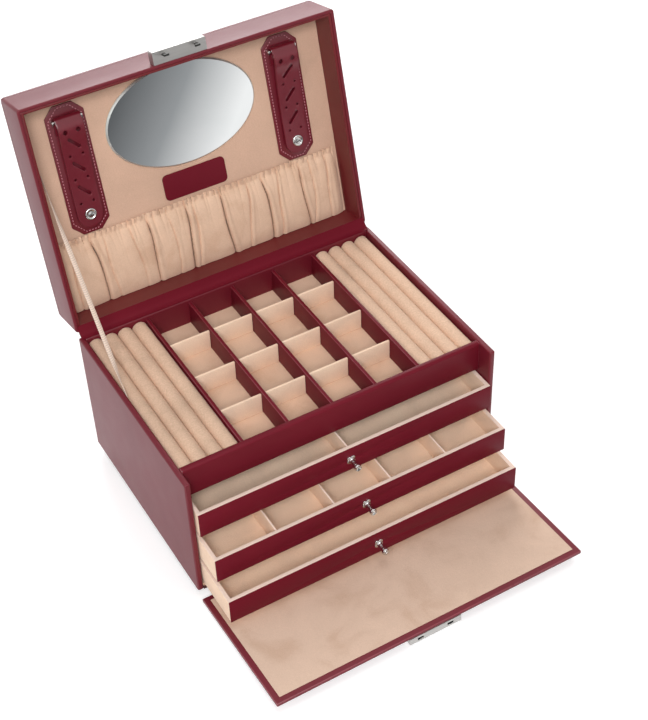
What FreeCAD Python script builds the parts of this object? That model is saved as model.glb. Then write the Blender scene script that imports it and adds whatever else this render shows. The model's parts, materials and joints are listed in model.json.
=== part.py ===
import FreeCAD
import Part

import math
import os
import re

# Leather jewellery case: a lid with a mirror, a drop front, a top tray and three drawers.
# Millimetres, +Z up, front towards -Y. The origin is the middle of the plinth's underside.
# Stored open: lid up against its ribbon stay, front flap down, drawers stepped out.

DIMENSIONS = {
    # carcass
    "case_width": 280, "case_depth": 196, "case_height": 122, "wall": 5,
    "plinth_height": 7, "plinth_inset": 16, "base_board": 4, "floor_lining": 1,
    "edge_round": 1.5, "overshoot": 1,
    # top tray
    "tray_setback": 14.7, "tray_panel": 6, "tray_height": 28.5, "tray_floor": 2.5, "tray_lining": 0.8,
    "panel_round": 2.4, "divider": 3, "divider_drop": 3, "divider_pitch": 40, "divider_count": 5,
    "cross_divider": 2, "cross_drop": 6, "cross_pitch": 45, "cross_back": 38, "cross_count": 3,
    "roll_count": 4, "roll_gap": 0.4, "roll_drop": 2.2,
    # drawers
    "drawer_gap": 6.8, "drawer_lift": 1.2, "drawer_headroom": 3.5, "drawer_side_gap": 1,
    "drawer_wall": 3.2, "drawer_floor": 2, "drawer_front": 0.8, "drawer_back_gap": 1.5,
    "upper_out": 4.8, "middle_out": 27.5, "lower_out": 45.5, "drawer_recess": 20, "lower_recess": 60,
    "cell_wall": 1.6, "cell_drop": 1.5, "shelf": 2.5, "shelf_gap": 0.4,
    "knob_foot": 2.4, "knob_foot_thick": 1, "knob_petals": 4, "knob_petal": 2.1, "knob_collar": 2,
    "knob_ball": 3.1, "knob_neck": 1.5, "knob_reach": 12, "knob_screw": 1.2,
    # lid
    "lid_height": 41, "lid_wall": 3, "lid_liner": 2.2, "liner_drop": 0.8, "lid_gap": 1,
    "lid_open_degrees": 103.9, "lid_panel": 2, "lid_board": 4, "pad_edge": 4, "pad_crown": 4,
    "lid_round": 2.5, "rim_round": 1,
    "mirror_half_width": 67.5, "mirror_half_height": 43.5, "mirror_front_gap": 4.8, "mirror_thick": 2.5,
    "plate_width": 58, "plate_height": 23, "plate_gap": 4.5, "plate_thick": 1.2, "plate_round": 4,
    "pocket_side_gap": 2.8, "pocket_gap": 2.9, "pocket_bottom_gap": 0.4, "pocket_mouth": 3.2,
    "pocket_belly": 8.5, "pocket_folds": 14,
    # lid straps
    "patch_width": 33.5, "patch_cut": 8.5, "patch_thick": 1.6, "patch_front_gap": 9.4, "patch_gap": 0.8,
    "mirror_side_gap": 12.95, "strap_width": 22, "strap_thick": 2, "bar_inset": 11.4, "strap_end_gap": 5.6,
    "strap_bar": 1.1, "strap_loop": 4, "strap_gap": 0.3, "strap_lift": 2.4,
    "stud_from_end": 12, "stud_radius": 5, "stud_height": 1.5, "socket_gap": 0.3, "socket_radius": 4,
    "hole_start": 8.6, "hole_pitch": 10.6, "hole_spread": 11, "hole_large": 2, "hole_small": 1.1,
    "slot_length": 13.5, "slot_width": 2.6, "slot_lean_degrees": 46,
    # hinges
    "knuckle": 1.8, "hinge_pin": 0.8, "pin_play": 0.05, "leaf": 0.9, "leaf_width": 13, "hinge_inset": 12,
    "knuckle_count": 11, "knuckle_gap": 0.4, "lid_axis_back": 2.2,
    # flap
    "flap_thick": 4, "flap_gap": 0.3, "knuckle_clear": 0.2, "flap_start": 3.4, "flap_top_gap": 0.2,
    "flap_lining": 0.6, "flap_margin": 5, "flap_round": 1.2, "hinge_rail": 9, "rail_clear": 0.4,
    "hinge_strip": 2.2,
    # lock and catch
    "lock_width": 47, "lock_length": 23, "lock_depth": 6.5, "lock_wall": 1.2, "lock_round": 0.7,
    "hook_from_middle": 14.5, "hook_width": 3, "hook_thick": 1.6, "hook_tooth": 1.6, "hook_play": 0.9,
    "plug_radius": 3.9, "plug_from_foot": 7, "plug_sink": 0.2, "keyway": 1.2, "plug_cam": 2.8,
    "button_length": 10, "button_proud": 2.4, "button_from_foot": 4, "button_travel": 2, "button_play": 0.3,
    "button_root": 3, "latch_plate": 0.8, "latch_arm": 5, "latch_lug": 1.3,
    "catch_height": 9, "catch_rise": 0.6, "ground_play": 0.05,
    # handle
    "handle_span": 138, "handle_rise": 30, "handle_width": 10, "handle_half_thick": 4, "tab_length": 24,
    "tab_thick": 3.6, "tab_round": 4, "post_radius": 3, "post_height": 8, "cap_lip": 1.4,
    "cap_thick": 1.6, "nut_wall": 2, "nut_thick": 2.5, "nut_room": 1.5,
    # ribbon stay
    "ribbon_width": 4, "ribbon_thick": 0.5, "ribbon_low_y": 15, "ribbon_low_drop": 3, "ribbon_side_gap": 0.4,
    "ribbon_from_back": 130, "ribbon_inset": 6, "ribbon_end_gap": 2,
}

# Heights and depths that several pieces share, as expressions on the sheet.
FRONT = "(-case_depth / 2)"
BACK_INNER = "(case_depth / 2 - wall)"
WALL_TOP = "(plinth_height + case_height)"
INNER_HALF = "(case_width / 2 - wall)"
FLOOR_TOP = "(plinth_height + base_board + floor_lining)"
TRAY_BOTTOM = f"({WALL_TOP} - tray_height)"
TRAY_BED = f"({TRAY_BOTTOM} + tray_floor + tray_lining)"
TRAY_INNER = f"({FRONT} + tray_setback + tray_panel)"
ROLL_WIDTH = f"(({INNER_HALF} - 2 * divider_pitch - divider / 2) / roll_count)"
LID_AXIS_Y = "(case_depth / 2 + lid_axis_back)"
LID_AXIS_Z = f"({WALL_TOP} + lid_gap / 2)"
FLAP_AXIS_Y = f"({FRONT} - flap_gap - flap_thick / 2)"
FLAP_AXIS_Z = "(knuckle + knuckle_clear)"
FLAP_END = f"({WALL_TOP} - {FLAP_AXIS_Z} - flap_top_gap)"
LOCK_FOOT = f"({FLAP_END} - lock_length)"
LOCK_REACH = "(flap_thick / 2 + lock_depth)"
BUTTON_Y = f"(-{LOCK_FOOT} - button_from_foot - button_length)"
FLAP_TILT = (f"(atan2({LOCK_REACH}; {LOCK_FOOT})"
             f" - asin(({FLAP_AXIS_Z} - ground_play) / hypot({LOCK_FOOT}; {LOCK_REACH})))")
HOOK_LENGTH = ("(catch_rise + lid_gap + flap_top_gap + lock_wall + button_play + latch_lug"
               " + hook_tooth)")
# In the lid's own frame, whose origin is on the hinge axis with the lid shut.
LID_RIM = "(lid_gap / 2)"
LID_BACK = "(-lid_axis_back)"
LID_FRONT = "(-lid_axis_back - case_depth)"
LID_TOP = f"({LID_RIM} + lid_height - pad_edge)"
LID_FACE = f"({LID_TOP} - lid_board - nut_thick - nut_room - lid_panel)"
LINER_FRONT = f"({LID_FRONT} + lid_wall + lid_liner)"
MIRROR_Y = f"({LINER_FRONT} + mirror_front_gap + mirror_half_height)"
PLATE_Y = f"({MIRROR_Y} + mirror_half_height + plate_gap)"
POCKET_TOP = f"({PLATE_Y} + plate_height + pocket_gap)"
POCKET_FOOT = f"({LID_BACK} - lid_wall - lid_liner - pocket_bottom_gap)"
PATCH_Y = f"({LINER_FRONT} + patch_front_gap)"
PATCH_LENGTH = f"({POCKET_TOP} - patch_gap - {PATCH_Y})"
PATCH_X = "(mirror_half_width + mirror_side_gap + patch_width / 2)"
PATCH_FACE = f"({LID_FACE} - patch_thick)"
BAR_Y = f"({PATCH_Y} + bar_inset)"
BAR_Z = f"({PATCH_FACE} - strap_loop - strap_gap)"
STRAP_REACH = f"({PATCH_LENGTH} - bar_inset - strap_end_gap)"
STUD_Y = f"({BAR_Y} + {STRAP_REACH} - stud_from_end)"
MIDDLE_Y = f"({LID_FRONT} + case_depth / 2)"

DRAWERS = (
    ("upper", 2, "upper_out", "drawer_recess", 1),
    ("middle", 1, "middle_out", "drawer_recess", 4),
    ("lower", 0, "lower_out", "lower_recess", 0),
)
DRAWER_PITCH = (f"(({TRAY_BOTTOM} - {FLOOR_TOP} - drawer_lift - drawer_headroom + drawer_gap)"
                f" / {len(DRAWERS)})")
DRAWER_HEIGHT = f"({DRAWER_PITCH} - drawer_gap)"
SIDES = (("left", -1), ("right", 1))
# Rows of earring holes in a strap: pairs of holes and leaning slots by turns.
EARRING_ROWS = 7
AXIS_TURN = {"X": "rotation(vector(0; 1; 0); 90)", "Y": "rotation(vector(1; 0; 0); -90)",
             "Z": "rotation(vector(0; 0; 1); 0)"}

doc = FreeCAD.newDocument("jewellery_case")
sheet = doc.addObject("Spreadsheet::Sheet", "sheet")
for row, (alias, value) in enumerate(DIMENSIONS.items(), start=1):
    sheet.set(f"A{row}", alias)
    sheet.set(f"B{row}", str(value))
    sheet.setAlias(f"B{row}", alias)
doc.recompute()

WORD = re.compile(r"\b(" + "|".join(sorted(DIMENSIONS, key=len, reverse=True)) + r")\b")
nodes = []


def bind(text):
    """The expression with each dimension's name pointed at its cell."""
    return WORD.sub(r"sheet.\1", str(text))


def size(text):
    """The value of a dimension, or of an expression on the sheet."""
    value = sheet.evalExpression(bind(text))
    return float(getattr(value, "Value", value))


def place(obj, x, y, z, turn="Z"):
    text = f"placement(vector({x}; {y}; {z}); {AXIS_TURN[turn]})"
    obj.setExpression("Placement", bind(text))


def add(kind, label, body=None):
    name = re.sub(r"\W", "_", label)
    return body.newObject(kind, name) if body else doc.addObject(kind, name)


def box(x, y, z, body=None, cut=False, label="block"):
    """A block from (start, length) pairs along each axis."""
    kind = "Part::Box"
    if body:
        kind = "PartDesign::SubtractiveBox" if cut else "PartDesign::AdditiveBox"
    block = add(kind, label, body)
    for name, (start, length) in (("Length", x), ("Width", y), ("Height", z)):
        block.setExpression(name, bind(length))
    place(block, x[0], y[0], z[0])
    return block


def rod(at, axis, radius, length, body=None, cut=False, label="rod"):
    kind = "Part::Cylinder"
    if body:
        kind = "PartDesign::SubtractiveCylinder" if cut else "PartDesign::AdditiveCylinder"
    cylinder = add(kind, label, body)
    cylinder.setExpression("Radius", bind(radius))
    cylinder.setExpression("Height", bind(length))
    place(cylinder, *at, turn=axis)
    return cylinder


def new_body(label):
    body = doc.addObject("PartDesign::Body", label)
    body.Label = label
    return body


def soften(body, radius, wanted, kind="PartDesign::Fillet", setting="Radius"):
    """Rounds, or cuts off, the edges of the body's tip that the test picks."""
    doc.recompute()
    base = body.Tip
    picks = wanted(base.Shape)
    names = [f"Edge{i}" for i, edge in enumerate(base.Shape.Edges, start=1) if picks(edge)]
    feature = body.newObject(kind, "edges")
    feature.Base = (base, names)
    feature.setExpression(setting, bind(radius))
    doc.recompute()
    return feature


def along(axis):
    """A test for straight edges that run along one axis."""
    def test(edge):
        box_of = edge.BoundBox
        lengths = {"X": box_of.XLength, "Y": box_of.YLength, "Z": box_of.ZLength}
        return lengths.pop(axis) > 1e-3 and max(lengths.values()) < 1e-4
    return test


def on_face(base, axis, high):
    """A test for edges that lie on the highest or lowest face of the shape along one axis."""
    limit = getattr(base.BoundBox, axis + ("Max" if high else "Min"))

    def test(edge):
        low, top = (getattr(edge.BoundBox, axis + end) for end in ("Min", "Max"))
        return abs(low - limit) < 1e-4 and abs(top - limit) < 1e-4
    return test


def keep(obj, label, frame=None):
    """Names a finished piece and hangs it on a moving frame."""
    obj.Label = label
    if frame:
        obj.setExpression("Placement", f"{frame}.Placement")
    nodes.append(obj)
    return obj


def group(shapes, label, frame=None):
    made = doc.addObject("Part::Compound", label)
    made.Links = shapes
    return keep(made, label, frame)


def fuse(shapes, label):
    made = doc.addObject("Part::MultiFuse", label)
    made.Shapes = shapes
    return made


def cut(base, tool, label):
    made = doc.addObject("Part::Cut", label)
    made.Base = base
    made.Tool = tool
    return made


def panel(label, x, y, z, frame=None, rounds=()):
    """A board or sheet as a body, with the radius and test of each set of rounded edges."""
    body = new_body(label)
    box(x, y, z, body)
    for radius, wanted in rounds:
        soften(body, radius, wanted)
    return keep(body, label, frame)


def moving_frame(name, y, z, angle):
    frame = doc.addObject("App::Placement", name)
    text = f"placement(vector(0; {y}; {z}); rotation(vector(1; 0; 0); -({angle})))"
    frame.setExpression("Placement", bind(text))
    doc.recompute()
    return name


LID = moving_frame("lid_frame_place", LID_AXIS_Y, LID_AXIS_Z, "lid_open_degrees")
FLAP = moving_frame("flap_frame_place", FLAP_AXIS_Y, FLAP_AXIS_Z, FLAP_TILT)


def face(axis, high):
    return lambda shape: on_face(shape, axis, high)


def run_along(axis):
    return lambda shape: along(axis)


def any_of(*tests):
    return lambda shape: lambda edge: any(test(shape)(edge) for test in tests)


def outside_of(test):
    return lambda shape: lambda edge: not test(shape)(edge)


def all_of(*tests):
    return lambda shape: lambda edge: all(test(shape)(edge) for test in tests)


def centred(width):
    return (f"-({width}) / 2", width)


# Carcass


def carcass():
    inner = centred(f"2 * {INNER_HALF}")
    panel("plinth", centred("case_width - 2 * plinth_inset"),
          (f"{FRONT} + hinge_rail + rail_clear", "case_depth - hinge_rail - rail_clear - plinth_inset"),
          (0, "plinth_height"))
    panel("base_board", inner, (FRONT, "case_depth - wall"), ("plinth_height", "base_board"))
    panel("floor_lining", inner, (FRONT, "case_depth - wall"),
          ("plinth_height + base_board", "floor_lining"))
    for side, sign in SIDES:
        start = "-case_width / 2" if sign < 0 else INNER_HALF
        soft = any_of(face("X", sign > 0), face("Z", True), face("Y", False))
        panel(f"{side}_wall", (start, "wall"), (FRONT, "case_depth"), ("plinth_height", "case_height"),
              rounds=[("min(edge_round; 0.4 * wall)", soft)])
    panel("back_wall", inner, (BACK_INNER, "wall"), ("plinth_height", "case_height"),
          rounds=[("min(edge_round; 0.4 * wall)", all_of(face("Z", True), run_along("X")))])
    shelves = []
    for level in (1, 2):
        top = f"{FLOOR_TOP} + drawer_lift + {level} * {DRAWER_PITCH} - shelf_gap"
        shelves.append(box(inner, (f"{FRONT} + tray_setback", "case_depth - tray_setback - wall"),
                           (f"{top} - shelf", "shelf"), label="shelf"))
    group(shelves, "drawer_shelves")


def tray():
    inner = centred(f"2 * {INNER_HALF}")
    run = (TRAY_INNER, f"{BACK_INNER} - {TRAY_INNER}")
    panel("tray_floor", inner, run, (TRAY_BOTTOM, "tray_floor"))
    panel("tray_lining", inner, run, (f"{TRAY_BOTTOM} + tray_floor", "tray_lining"))
    panel("tray_front_panel", inner, (f"{FRONT} + tray_setback", "tray_panel"),
          (TRAY_BOTTOM, "tray_height"),
          rounds=[("min(panel_round; 0.4 * tray_panel)", all_of(face("Z", True), run_along("X")))])
    height = f"{WALL_TOP} - divider_drop - {TRAY_BED}"
    dividers = []
    for index in range(int(size("divider_count"))):
        middle = f"({index} - (divider_count - 1) / 2) * divider_pitch"
        dividers.append(box((f"{middle} - divider / 2", "divider"), run, (TRAY_BED, height),
                            label="divider"))
    group(dividers, "tray_dividers")
    crosses = []
    for column in range(int(size("divider_count")) - 1):
        start = f"({column} - (divider_count - 1) / 2) * divider_pitch + divider / 2"
        for line in range(int(size("cross_count"))):
            middle = f"{BACK_INNER} - cross_back - {line} * cross_pitch"
            crosses.append(box((start, "divider_pitch - divider"), (f"{middle} - cross_divider / 2",
                           "cross_divider"), (TRAY_BED, f"{WALL_TOP} - cross_drop - {TRAY_BED}"),
                           label="cross_divider"))
    group(crosses, "tray_cross_dividers")
    for side, sign in SIDES:
        rolls = []
        for index in range(int(size("roll_count"))):
            body = new_body(f"{side}_roll_{index + 1}")
            start = f"{index} * {ROLL_WIDTH} + roll_gap / 2"
            if sign < 0:
                left = f"-{INNER_HALF} + {start}"
            else:
                left = f"2 * divider_pitch + divider / 2 + {start}"
            box((left, f"{ROLL_WIDTH} - roll_gap"), run,
                (TRAY_BED, f"{WALL_TOP} - roll_drop - {TRAY_BED}"), body)
            soften(body, f"0.48 * ({ROLL_WIDTH} - roll_gap)", all_of(face("Z", True), run_along("Y")))
            rolls.append(body)
        group(rolls, f"ring_rolls_{side}")


# Drawers


def drawer(name, level, out, recess, inner_walls):
    bottom = f"({FLOOR_TOP} + drawer_lift + {level} * {DRAWER_PITCH})"
    front = f"({FRONT} - {out})"
    width = f"(2 * ({INNER_HALF} - drawer_side_gap))"
    depth = f"(case_depth - wall - drawer_back_gap - {recess} - drawer_front)"
    body = new_body(f"{name}_drawer_box")
    box(centred(width), (f"{front} + drawer_front", depth), (bottom, DRAWER_HEIGHT), body)
    clear = f"({width} - 2 * drawer_wall)"
    box(centred(clear), (f"{front} + drawer_front + drawer_wall", f"{depth} - 2 * drawer_wall"),
        (f"{bottom} + drawer_floor", DRAWER_HEIGHT), body, cut=True)
    leather = new_body(f"{name}_drawer_front")
    box(centred(width), (front, "drawer_front"), (bottom, DRAWER_HEIGHT), leather)
    middle = f"{bottom} + {DRAWER_HEIGHT} / 2"
    for holed in (body, leather):
        rod((0, f"{front} - overshoot", middle), "Y", "knob_screw + pin_play",
            "drawer_front + drawer_wall + 2 * overshoot", holed, cut=True)
    keep(body, f"{name}_drawer_box")
    keep(leather, f"{name}_drawer_front")
    if inner_walls:
        walls = []
        for index in range(inner_walls):
            at = f"(({index} + 1) / ({inner_walls} + 1) - 0.5) * {clear}"
            walls.append(box((f"{at} - cell_wall / 2", "cell_wall"),
                             (f"{front} + drawer_front + drawer_wall", f"{depth} - 2 * drawer_wall"),
                             (f"{bottom} + drawer_floor", f"{DRAWER_HEIGHT} - drawer_floor - cell_drop"),
                             label="cell_wall"))
        group(walls, f"{name}_drawer_dividers")
    knob(name, front, middle)


def knob(name, front, middle):
    """A turned knob on a petalled washer, with a plain shank through the drawer's front."""
    petals = [rod((0, f"{front} - knob_foot_thick", middle), "Y", "knob_foot", "knob_foot_thick",
                  label="washer")]
    for index in range(int(size("knob_petals"))):
        turn = f"({index} + 0.5) * 360 / knob_petals"
        petals.append(rod((f"knob_foot * cos({turn})", f"{front} - knob_foot_thick",
                           f"{middle} + knob_foot * sin({turn})"), "Y", "knob_petal", "knob_foot_thick",
                          label="petal"))
    collar = rod((0, f"{front} - 2 * knob_foot_thick", middle), "Y", "knob_collar", "knob_foot_thick",
                 label="collar")
    neck = rod((0, f"{front} - knob_reach + knob_ball", middle), "Y", "knob_neck", "knob_reach - knob_ball",
               label="neck")
    shank = rod((0, front, middle), "Y", "knob_screw", "drawer_front + drawer_wall", label="shank")
    ball = add("Part::Sphere", "ball")
    ball.setExpression("Radius", bind("knob_ball"))
    place(ball, 0, f"{front} - knob_reach + knob_ball", middle)
    keep(fuse([*petals, collar, neck, shank, ball], f"{name}_drawer_knob"), f"{name}_drawer_knob")


# Hinges


def hinge(label, frame, axis_at, half, web, leaf_block, first):
    """One leaf with every second knuckle, bored for the pin. web and leaf_block are (y, z) spans."""
    count = int(size("knuckle_count"))
    pitch = f"(2 * ({half}) / knuckle_count)"
    shapes = [box(centred(f"2 * ({half})"), *leaf_block, label="leaf")]
    for index in range(first, count, 2):
        start = f"-({half}) + {index} * {pitch} + knuckle_gap / 2"
        length = f"{pitch} - knuckle_gap"
        shapes.append(rod((start, *axis_at), "X", "knuckle", length, label="knuckle"))
        shapes.append(box((start, length), *web, label="web"))
    bore = rod((f"-({half}) - overshoot", *axis_at), "X", "hinge_pin + pin_play",
               f"2 * ({half} + overshoot)", label="bore")
    keep(cut(fuse(shapes, label + "_solid"), bore, label), label, frame)


def hinges():
    half = "case_width / 2 - hinge_inset"
    axis = (LID_AXIS_Y, LID_AXIS_Z)
    back = "case_depth / 2"
    web_low = f"({WALL_TOP} - 2 * knuckle)"
    hinge("lid_hinge_case_leaf", None, axis, half,
          ((back, "leaf + hinge_pin"), (web_low, "2 * knuckle")),
          ((back, "leaf"), (f"{web_low} - leaf_width", "leaf_width + knuckle")), 0)
    hinge("lid_hinge_lid_leaf", LID, (0, 0), half,
          ((LID_BACK, "leaf + hinge_pin"), (LID_RIM, "2 * knuckle")),
          ((LID_BACK, "leaf"), (f"{LID_RIM} + knuckle", "leaf_width + knuckle")), 1)
    pin = rod((f"-({half})", *axis), "X", "hinge_pin", f"2 * ({half})", label="lid_hinge_pin")
    keep(pin, "lid_hinge_pin")
    rail = ((FRONT, "hinge_rail"), ("rail_clear", "plinth_height - rail_clear"))
    axis = (FLAP_AXIS_Y, FLAP_AXIS_Z)
    reach = "flap_thick / 2 + flap_gap"
    hinge("flap_hinge_rail", None, axis, half,
          ((FLAP_AXIS_Y, reach), (f"{FLAP_AXIS_Z} - knuckle / 2", "knuckle")), rail, 0)
    hinge("flap_hinge_strip", FLAP, (0, 0), half,
          (("-hinge_strip", "hinge_strip"), ("-knuckle / 2", "knuckle")),
          (("-flap_start", "flap_start - hinge_strip"), ("-knuckle / 2", "knuckle")), 1)
    pin = rod((f"-({half})", *axis), "X", "hinge_pin", f"2 * ({half})", label="flap_hinge_pin")
    keep(pin, "flap_hinge_pin")


# Front flap with its lock


def flap():
    thin = "flap_thick - flap_lining"
    panel("flap_board", centred("case_width"), (f"-{FLAP_END}", f"{FLAP_END} - flap_start"),
          ("-flap_thick / 2", thin), FLAP, [("flap_round", face("Z", False))])
    panel("flap_lining", centred("case_width - 2 * flap_margin"),
          (f"-{FLAP_END} + flap_margin", f"{FLAP_END} - flap_start - 2 * flap_margin"),
          ("flap_thick / 2 - flap_lining", "flap_lining"), FLAP)
    lock()


def lock():
    end = f"-{FLAP_END}"
    low = f"(-{LOCK_REACH})"
    body = new_body("lock_case")
    box(centred("lock_width"), (end, "lock_length"), (low, "lock_depth"), body)
    soften(body, "lock_round", face("Z", False))
    box(centred("lock_width - 2 * lock_wall"), (f"{end} + lock_wall", "lock_length - 2 * lock_wall"),
        (f"{low} + lock_wall", "lock_depth"), body, cut=True)
    hook_mid = "(-flap_thick / 2 - lock_depth / 2)"
    slot = "(hook_width + hook_tooth + hook_play)"
    for side, sign in SIDES:
        middle = f"{sign} * (hook_from_middle - hook_tooth / 2)"
        box((f"{middle} - {slot} / 2", slot), (f"{end} - overshoot", "lock_wall + 2 * overshoot"),
            (f"{hook_mid} - hook_thick / 2 - hook_play / 2", "hook_thick + hook_play"), body, cut=True)
        edge = "-lock_width / 2 - overshoot" if sign < 0 else "lock_width / 2 - lock_wall - overshoot"
        box((edge, "lock_wall + 2 * overshoot"),
            (f"{BUTTON_Y} - button_play", "button_length + 2 * button_play"),
            (f"{low} + 2 * lock_wall - button_play", "lock_depth"), body, cut=True)
    plug_y = f"(-{LOCK_FOOT} - plug_from_foot)"
    rod((0, plug_y, f"{low} - overshoot"), "Z", "plug_radius + pin_play", "lock_wall + 2 * overshoot", body,
        cut=True)
    keep(body, "lock_case", FLAP)

    plug = new_body("key_plug")
    rod((0, plug_y, f"{low} + plug_sink"), "Z", "plug_radius", "lock_depth / 2 - plug_sink", plug)
    box(centred("keyway"), (f"{plug_y} - 2 * keyway", "4 * keyway"), (low, "lock_depth / 4"), plug, cut=True)
    box(centred("plug_cam"), (f"{plug_y} - plug_radius", "2 * plug_radius"),
        (f"{low} + lock_depth / 2", "lock_wall"), plug)
    keep(plug, "key_plug", FLAP)

    for side, sign in SIDES:
        button(f"lock_button_{side}", sign, end, low)


def button(label, sign, end, low):
    """Push button with its flat latch plate and the lug that holds the catch's hook."""
    def across(inner, outer):
        if sign > 0:
            return (inner, f"({outer}) - ({inner})")
        return (f"-({outer})", f"({outer}) - ({inner})")

    inside = "(lock_width / 2 - lock_wall)"
    head_z = (f"{low} + 2 * lock_wall", "lock_depth - 2 * lock_wall - button_play")
    plate_z = ("-flap_thick / 2 - button_play - latch_plate", "latch_plate")
    tooth_in = "(hook_from_middle - hook_width / 2 - hook_tooth)"
    near = f"({tooth_in} - button_travel)"
    lug_y = f"({end} + lock_wall + button_play / 2)"
    body = new_body(label)
    box(across(f"{inside} - button_root", "lock_width / 2 + button_proud"), (BUTTON_Y, "button_length"),
        head_z, body)
    box(across(f"{inside} - latch_arm", f"{inside} - button_play / 2"),
        (lug_y, f"{BUTTON_Y} + button_length - {lug_y}"), plate_z, body)
    box(across(near, f"{inside} - latch_arm"), (lug_y, "latch_arm"), plate_z, body)
    box(across(near, f"{tooth_in} + 0.6 * hook_tooth"), (lug_y, "latch_lug"), head_z, body)
    keep(body, label, FLAP)


# Lid


def lid():
    inner_x = centred("case_width - 2 * lid_wall")
    inner_y = (f"{LID_FRONT} + lid_wall", "case_depth - 2 * lid_wall")
    frame = new_body("lid_frame")
    box(centred("case_width"), (LID_FRONT, "case_depth"), (LID_RIM, "lid_height - pad_edge"), frame)
    soften(frame, "lid_round", run_along("Z"))
    box(inner_x, inner_y, (f"{LID_RIM} - overshoot", "lid_height + 2 * overshoot"), frame, cut=True)
    soften(frame, "min(rim_round; 0.4 * lid_wall)", face("Z", False))
    keep(frame, "lid_frame", LID)
    liner = new_body("lid_liner")
    rise = (f"{LID_RIM} + liner_drop", f"{LID_FACE} - {LID_RIM} - liner_drop")
    box(inner_x, inner_y, rise, liner)
    box(centred("case_width - 2 * (lid_wall + lid_liner)"),
        (LINER_FRONT, "case_depth - 2 * (lid_wall + lid_liner)"), rise, liner, cut=True)
    keep(liner, "lid_liner", LID)
    panel("lid_lining_panel", inner_x, inner_y, (LID_FACE, "lid_panel"), LID)
    board = new_body("lid_top_board")
    box(inner_x, inner_y, (f"{LID_TOP} - lid_board", "lid_board"), board)
    for side, sign in SIDES:
        rod((f"{sign} * handle_span / 2", MIDDLE_Y, f"{LID_TOP} - lid_board - overshoot"), "Z",
            "post_radius + pin_play", "lid_board + 2 * overshoot", board, cut=True)
    keep(board, "lid_top_board", LID)
    lid_pad()
    lid_lining_pieces()
    catch()
    handle()


def crown(length, rise):
    """Radius of the arc that rises by that much over that length."""
    return f"((({length}) ^ 2 / 4 + ({rise}) ^ 2) / (2 * ({rise})))"


def lid_pad():
    """Padded top: crowned both ways, with the posts' holes through it."""
    slab = new_body("pad_slab")
    box(centred("case_width"), (LID_FRONT, "case_depth"), (LID_TOP, "pad_edge + 2 * pad_crown"), slab)
    soften(slab, "lid_round", run_along("Z"))
    wide = crown("case_width", "pad_crown")
    deep = crown("case_depth", "pad_crown")
    top = f"{LID_TOP} + pad_edge + pad_crown"
    across = rod((0, LID_FRONT, f"{top} - {wide}"), "Y", wide, "case_depth", label="crown_across")
    lengthways = rod(("-case_width / 2", MIDDLE_Y, f"{top} - {deep}"), "X", deep, "case_width",
                     label="crown_lengthways")
    pad = doc.addObject("Part::MultiCommon", "pad_crowned")
    pad.Shapes = [slab, across, lengthways]
    holes = [rod((f"{sign} * handle_span / 2", MIDDLE_Y, f"{LID_TOP} - overshoot"), "Z",
                 "post_radius + pin_play", "pad_edge + pad_crown + 2 * overshoot", label="post_hole")
             for side, sign in SIDES]
    keep(cut(pad, fuse(holes, "post_holes"), "lid_top_pad"), "lid_top_pad", LID)


def lid_lining_pieces():
    outline = add("Part::Ellipse", "mirror_outline")
    outline.setExpression("MajorRadius", bind("mirror_half_width"))
    outline.setExpression("MinorRadius", bind("mirror_half_height"))
    place(outline, 0, MIRROR_Y, f"{LID_FACE} - mirror_thick")
    mirror = doc.addObject("Part::Extrusion", "mirror")
    mirror.Base = outline
    mirror.DirMode = "Custom"
    mirror.Dir = (0, 0, 1)
    mirror.Solid = True
    mirror.setExpression("LengthFwd", bind("mirror_thick"))
    group([mirror], "oval_mirror", LID)
    panel("name_plate", centred("plate_width"), (PLATE_Y, "plate_height"),
          (f"{LID_FACE} - plate_thick", "plate_thick"), LID, [("plate_round", run_along("Z"))])
    sockets = []
    bars = []
    for side, sign in SIDES:
        patch = new_body(f"strap_patch_{side}")
        middle = f"{sign} * {PATCH_X}"
        box((f"{middle} - patch_width / 2", "patch_width"), (PATCH_Y, PATCH_LENGTH),
            (PATCH_FACE, "patch_thick"), patch)
        soften(patch, "patch_cut", run_along("Z"), "PartDesign::Chamfer", "Size")
        keep(patch, f"strap_patch_{side}", LID)
        bars.append(strap_bar(middle))
        sockets.append(rod((middle, STUD_Y, f"{PATCH_FACE} - strap_lift + socket_gap"), "Z", "socket_radius",
                           "strap_lift - socket_gap", label="socket"))
        strap(side, sign, middle)
    group(bars, "strap_bars", LID)
    group(sockets, "stud_sockets", LID)
    pocket()


def strap_bar(middle):
    """Bent wire loop: a bar under the strap's fold and two feet on the patch."""
    ends = "(strap_width / 2 + 1.2 * strap_bar)"
    parts = [rod((f"{middle} - {ends}", BAR_Y, BAR_Z), "X", "strap_bar", f"2 * {ends}", label="bar")]
    for sign in (-1, 1):
        parts.append(rod((f"{middle} + {sign} * {ends}", BAR_Y, BAR_Z), "Z", "strap_bar",
                         f"{PATCH_FACE} - {BAR_Z}", label="bar_foot"))
        ball = add("Part::Sphere", "bar_corner")
        ball.setExpression("Radius", bind("strap_bar"))
        place(ball, f"{middle} + {sign} * {ends}", BAR_Y, BAR_Z)
        parts.append(ball)
    return fuse(parts, "strap_bar_loop")


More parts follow.
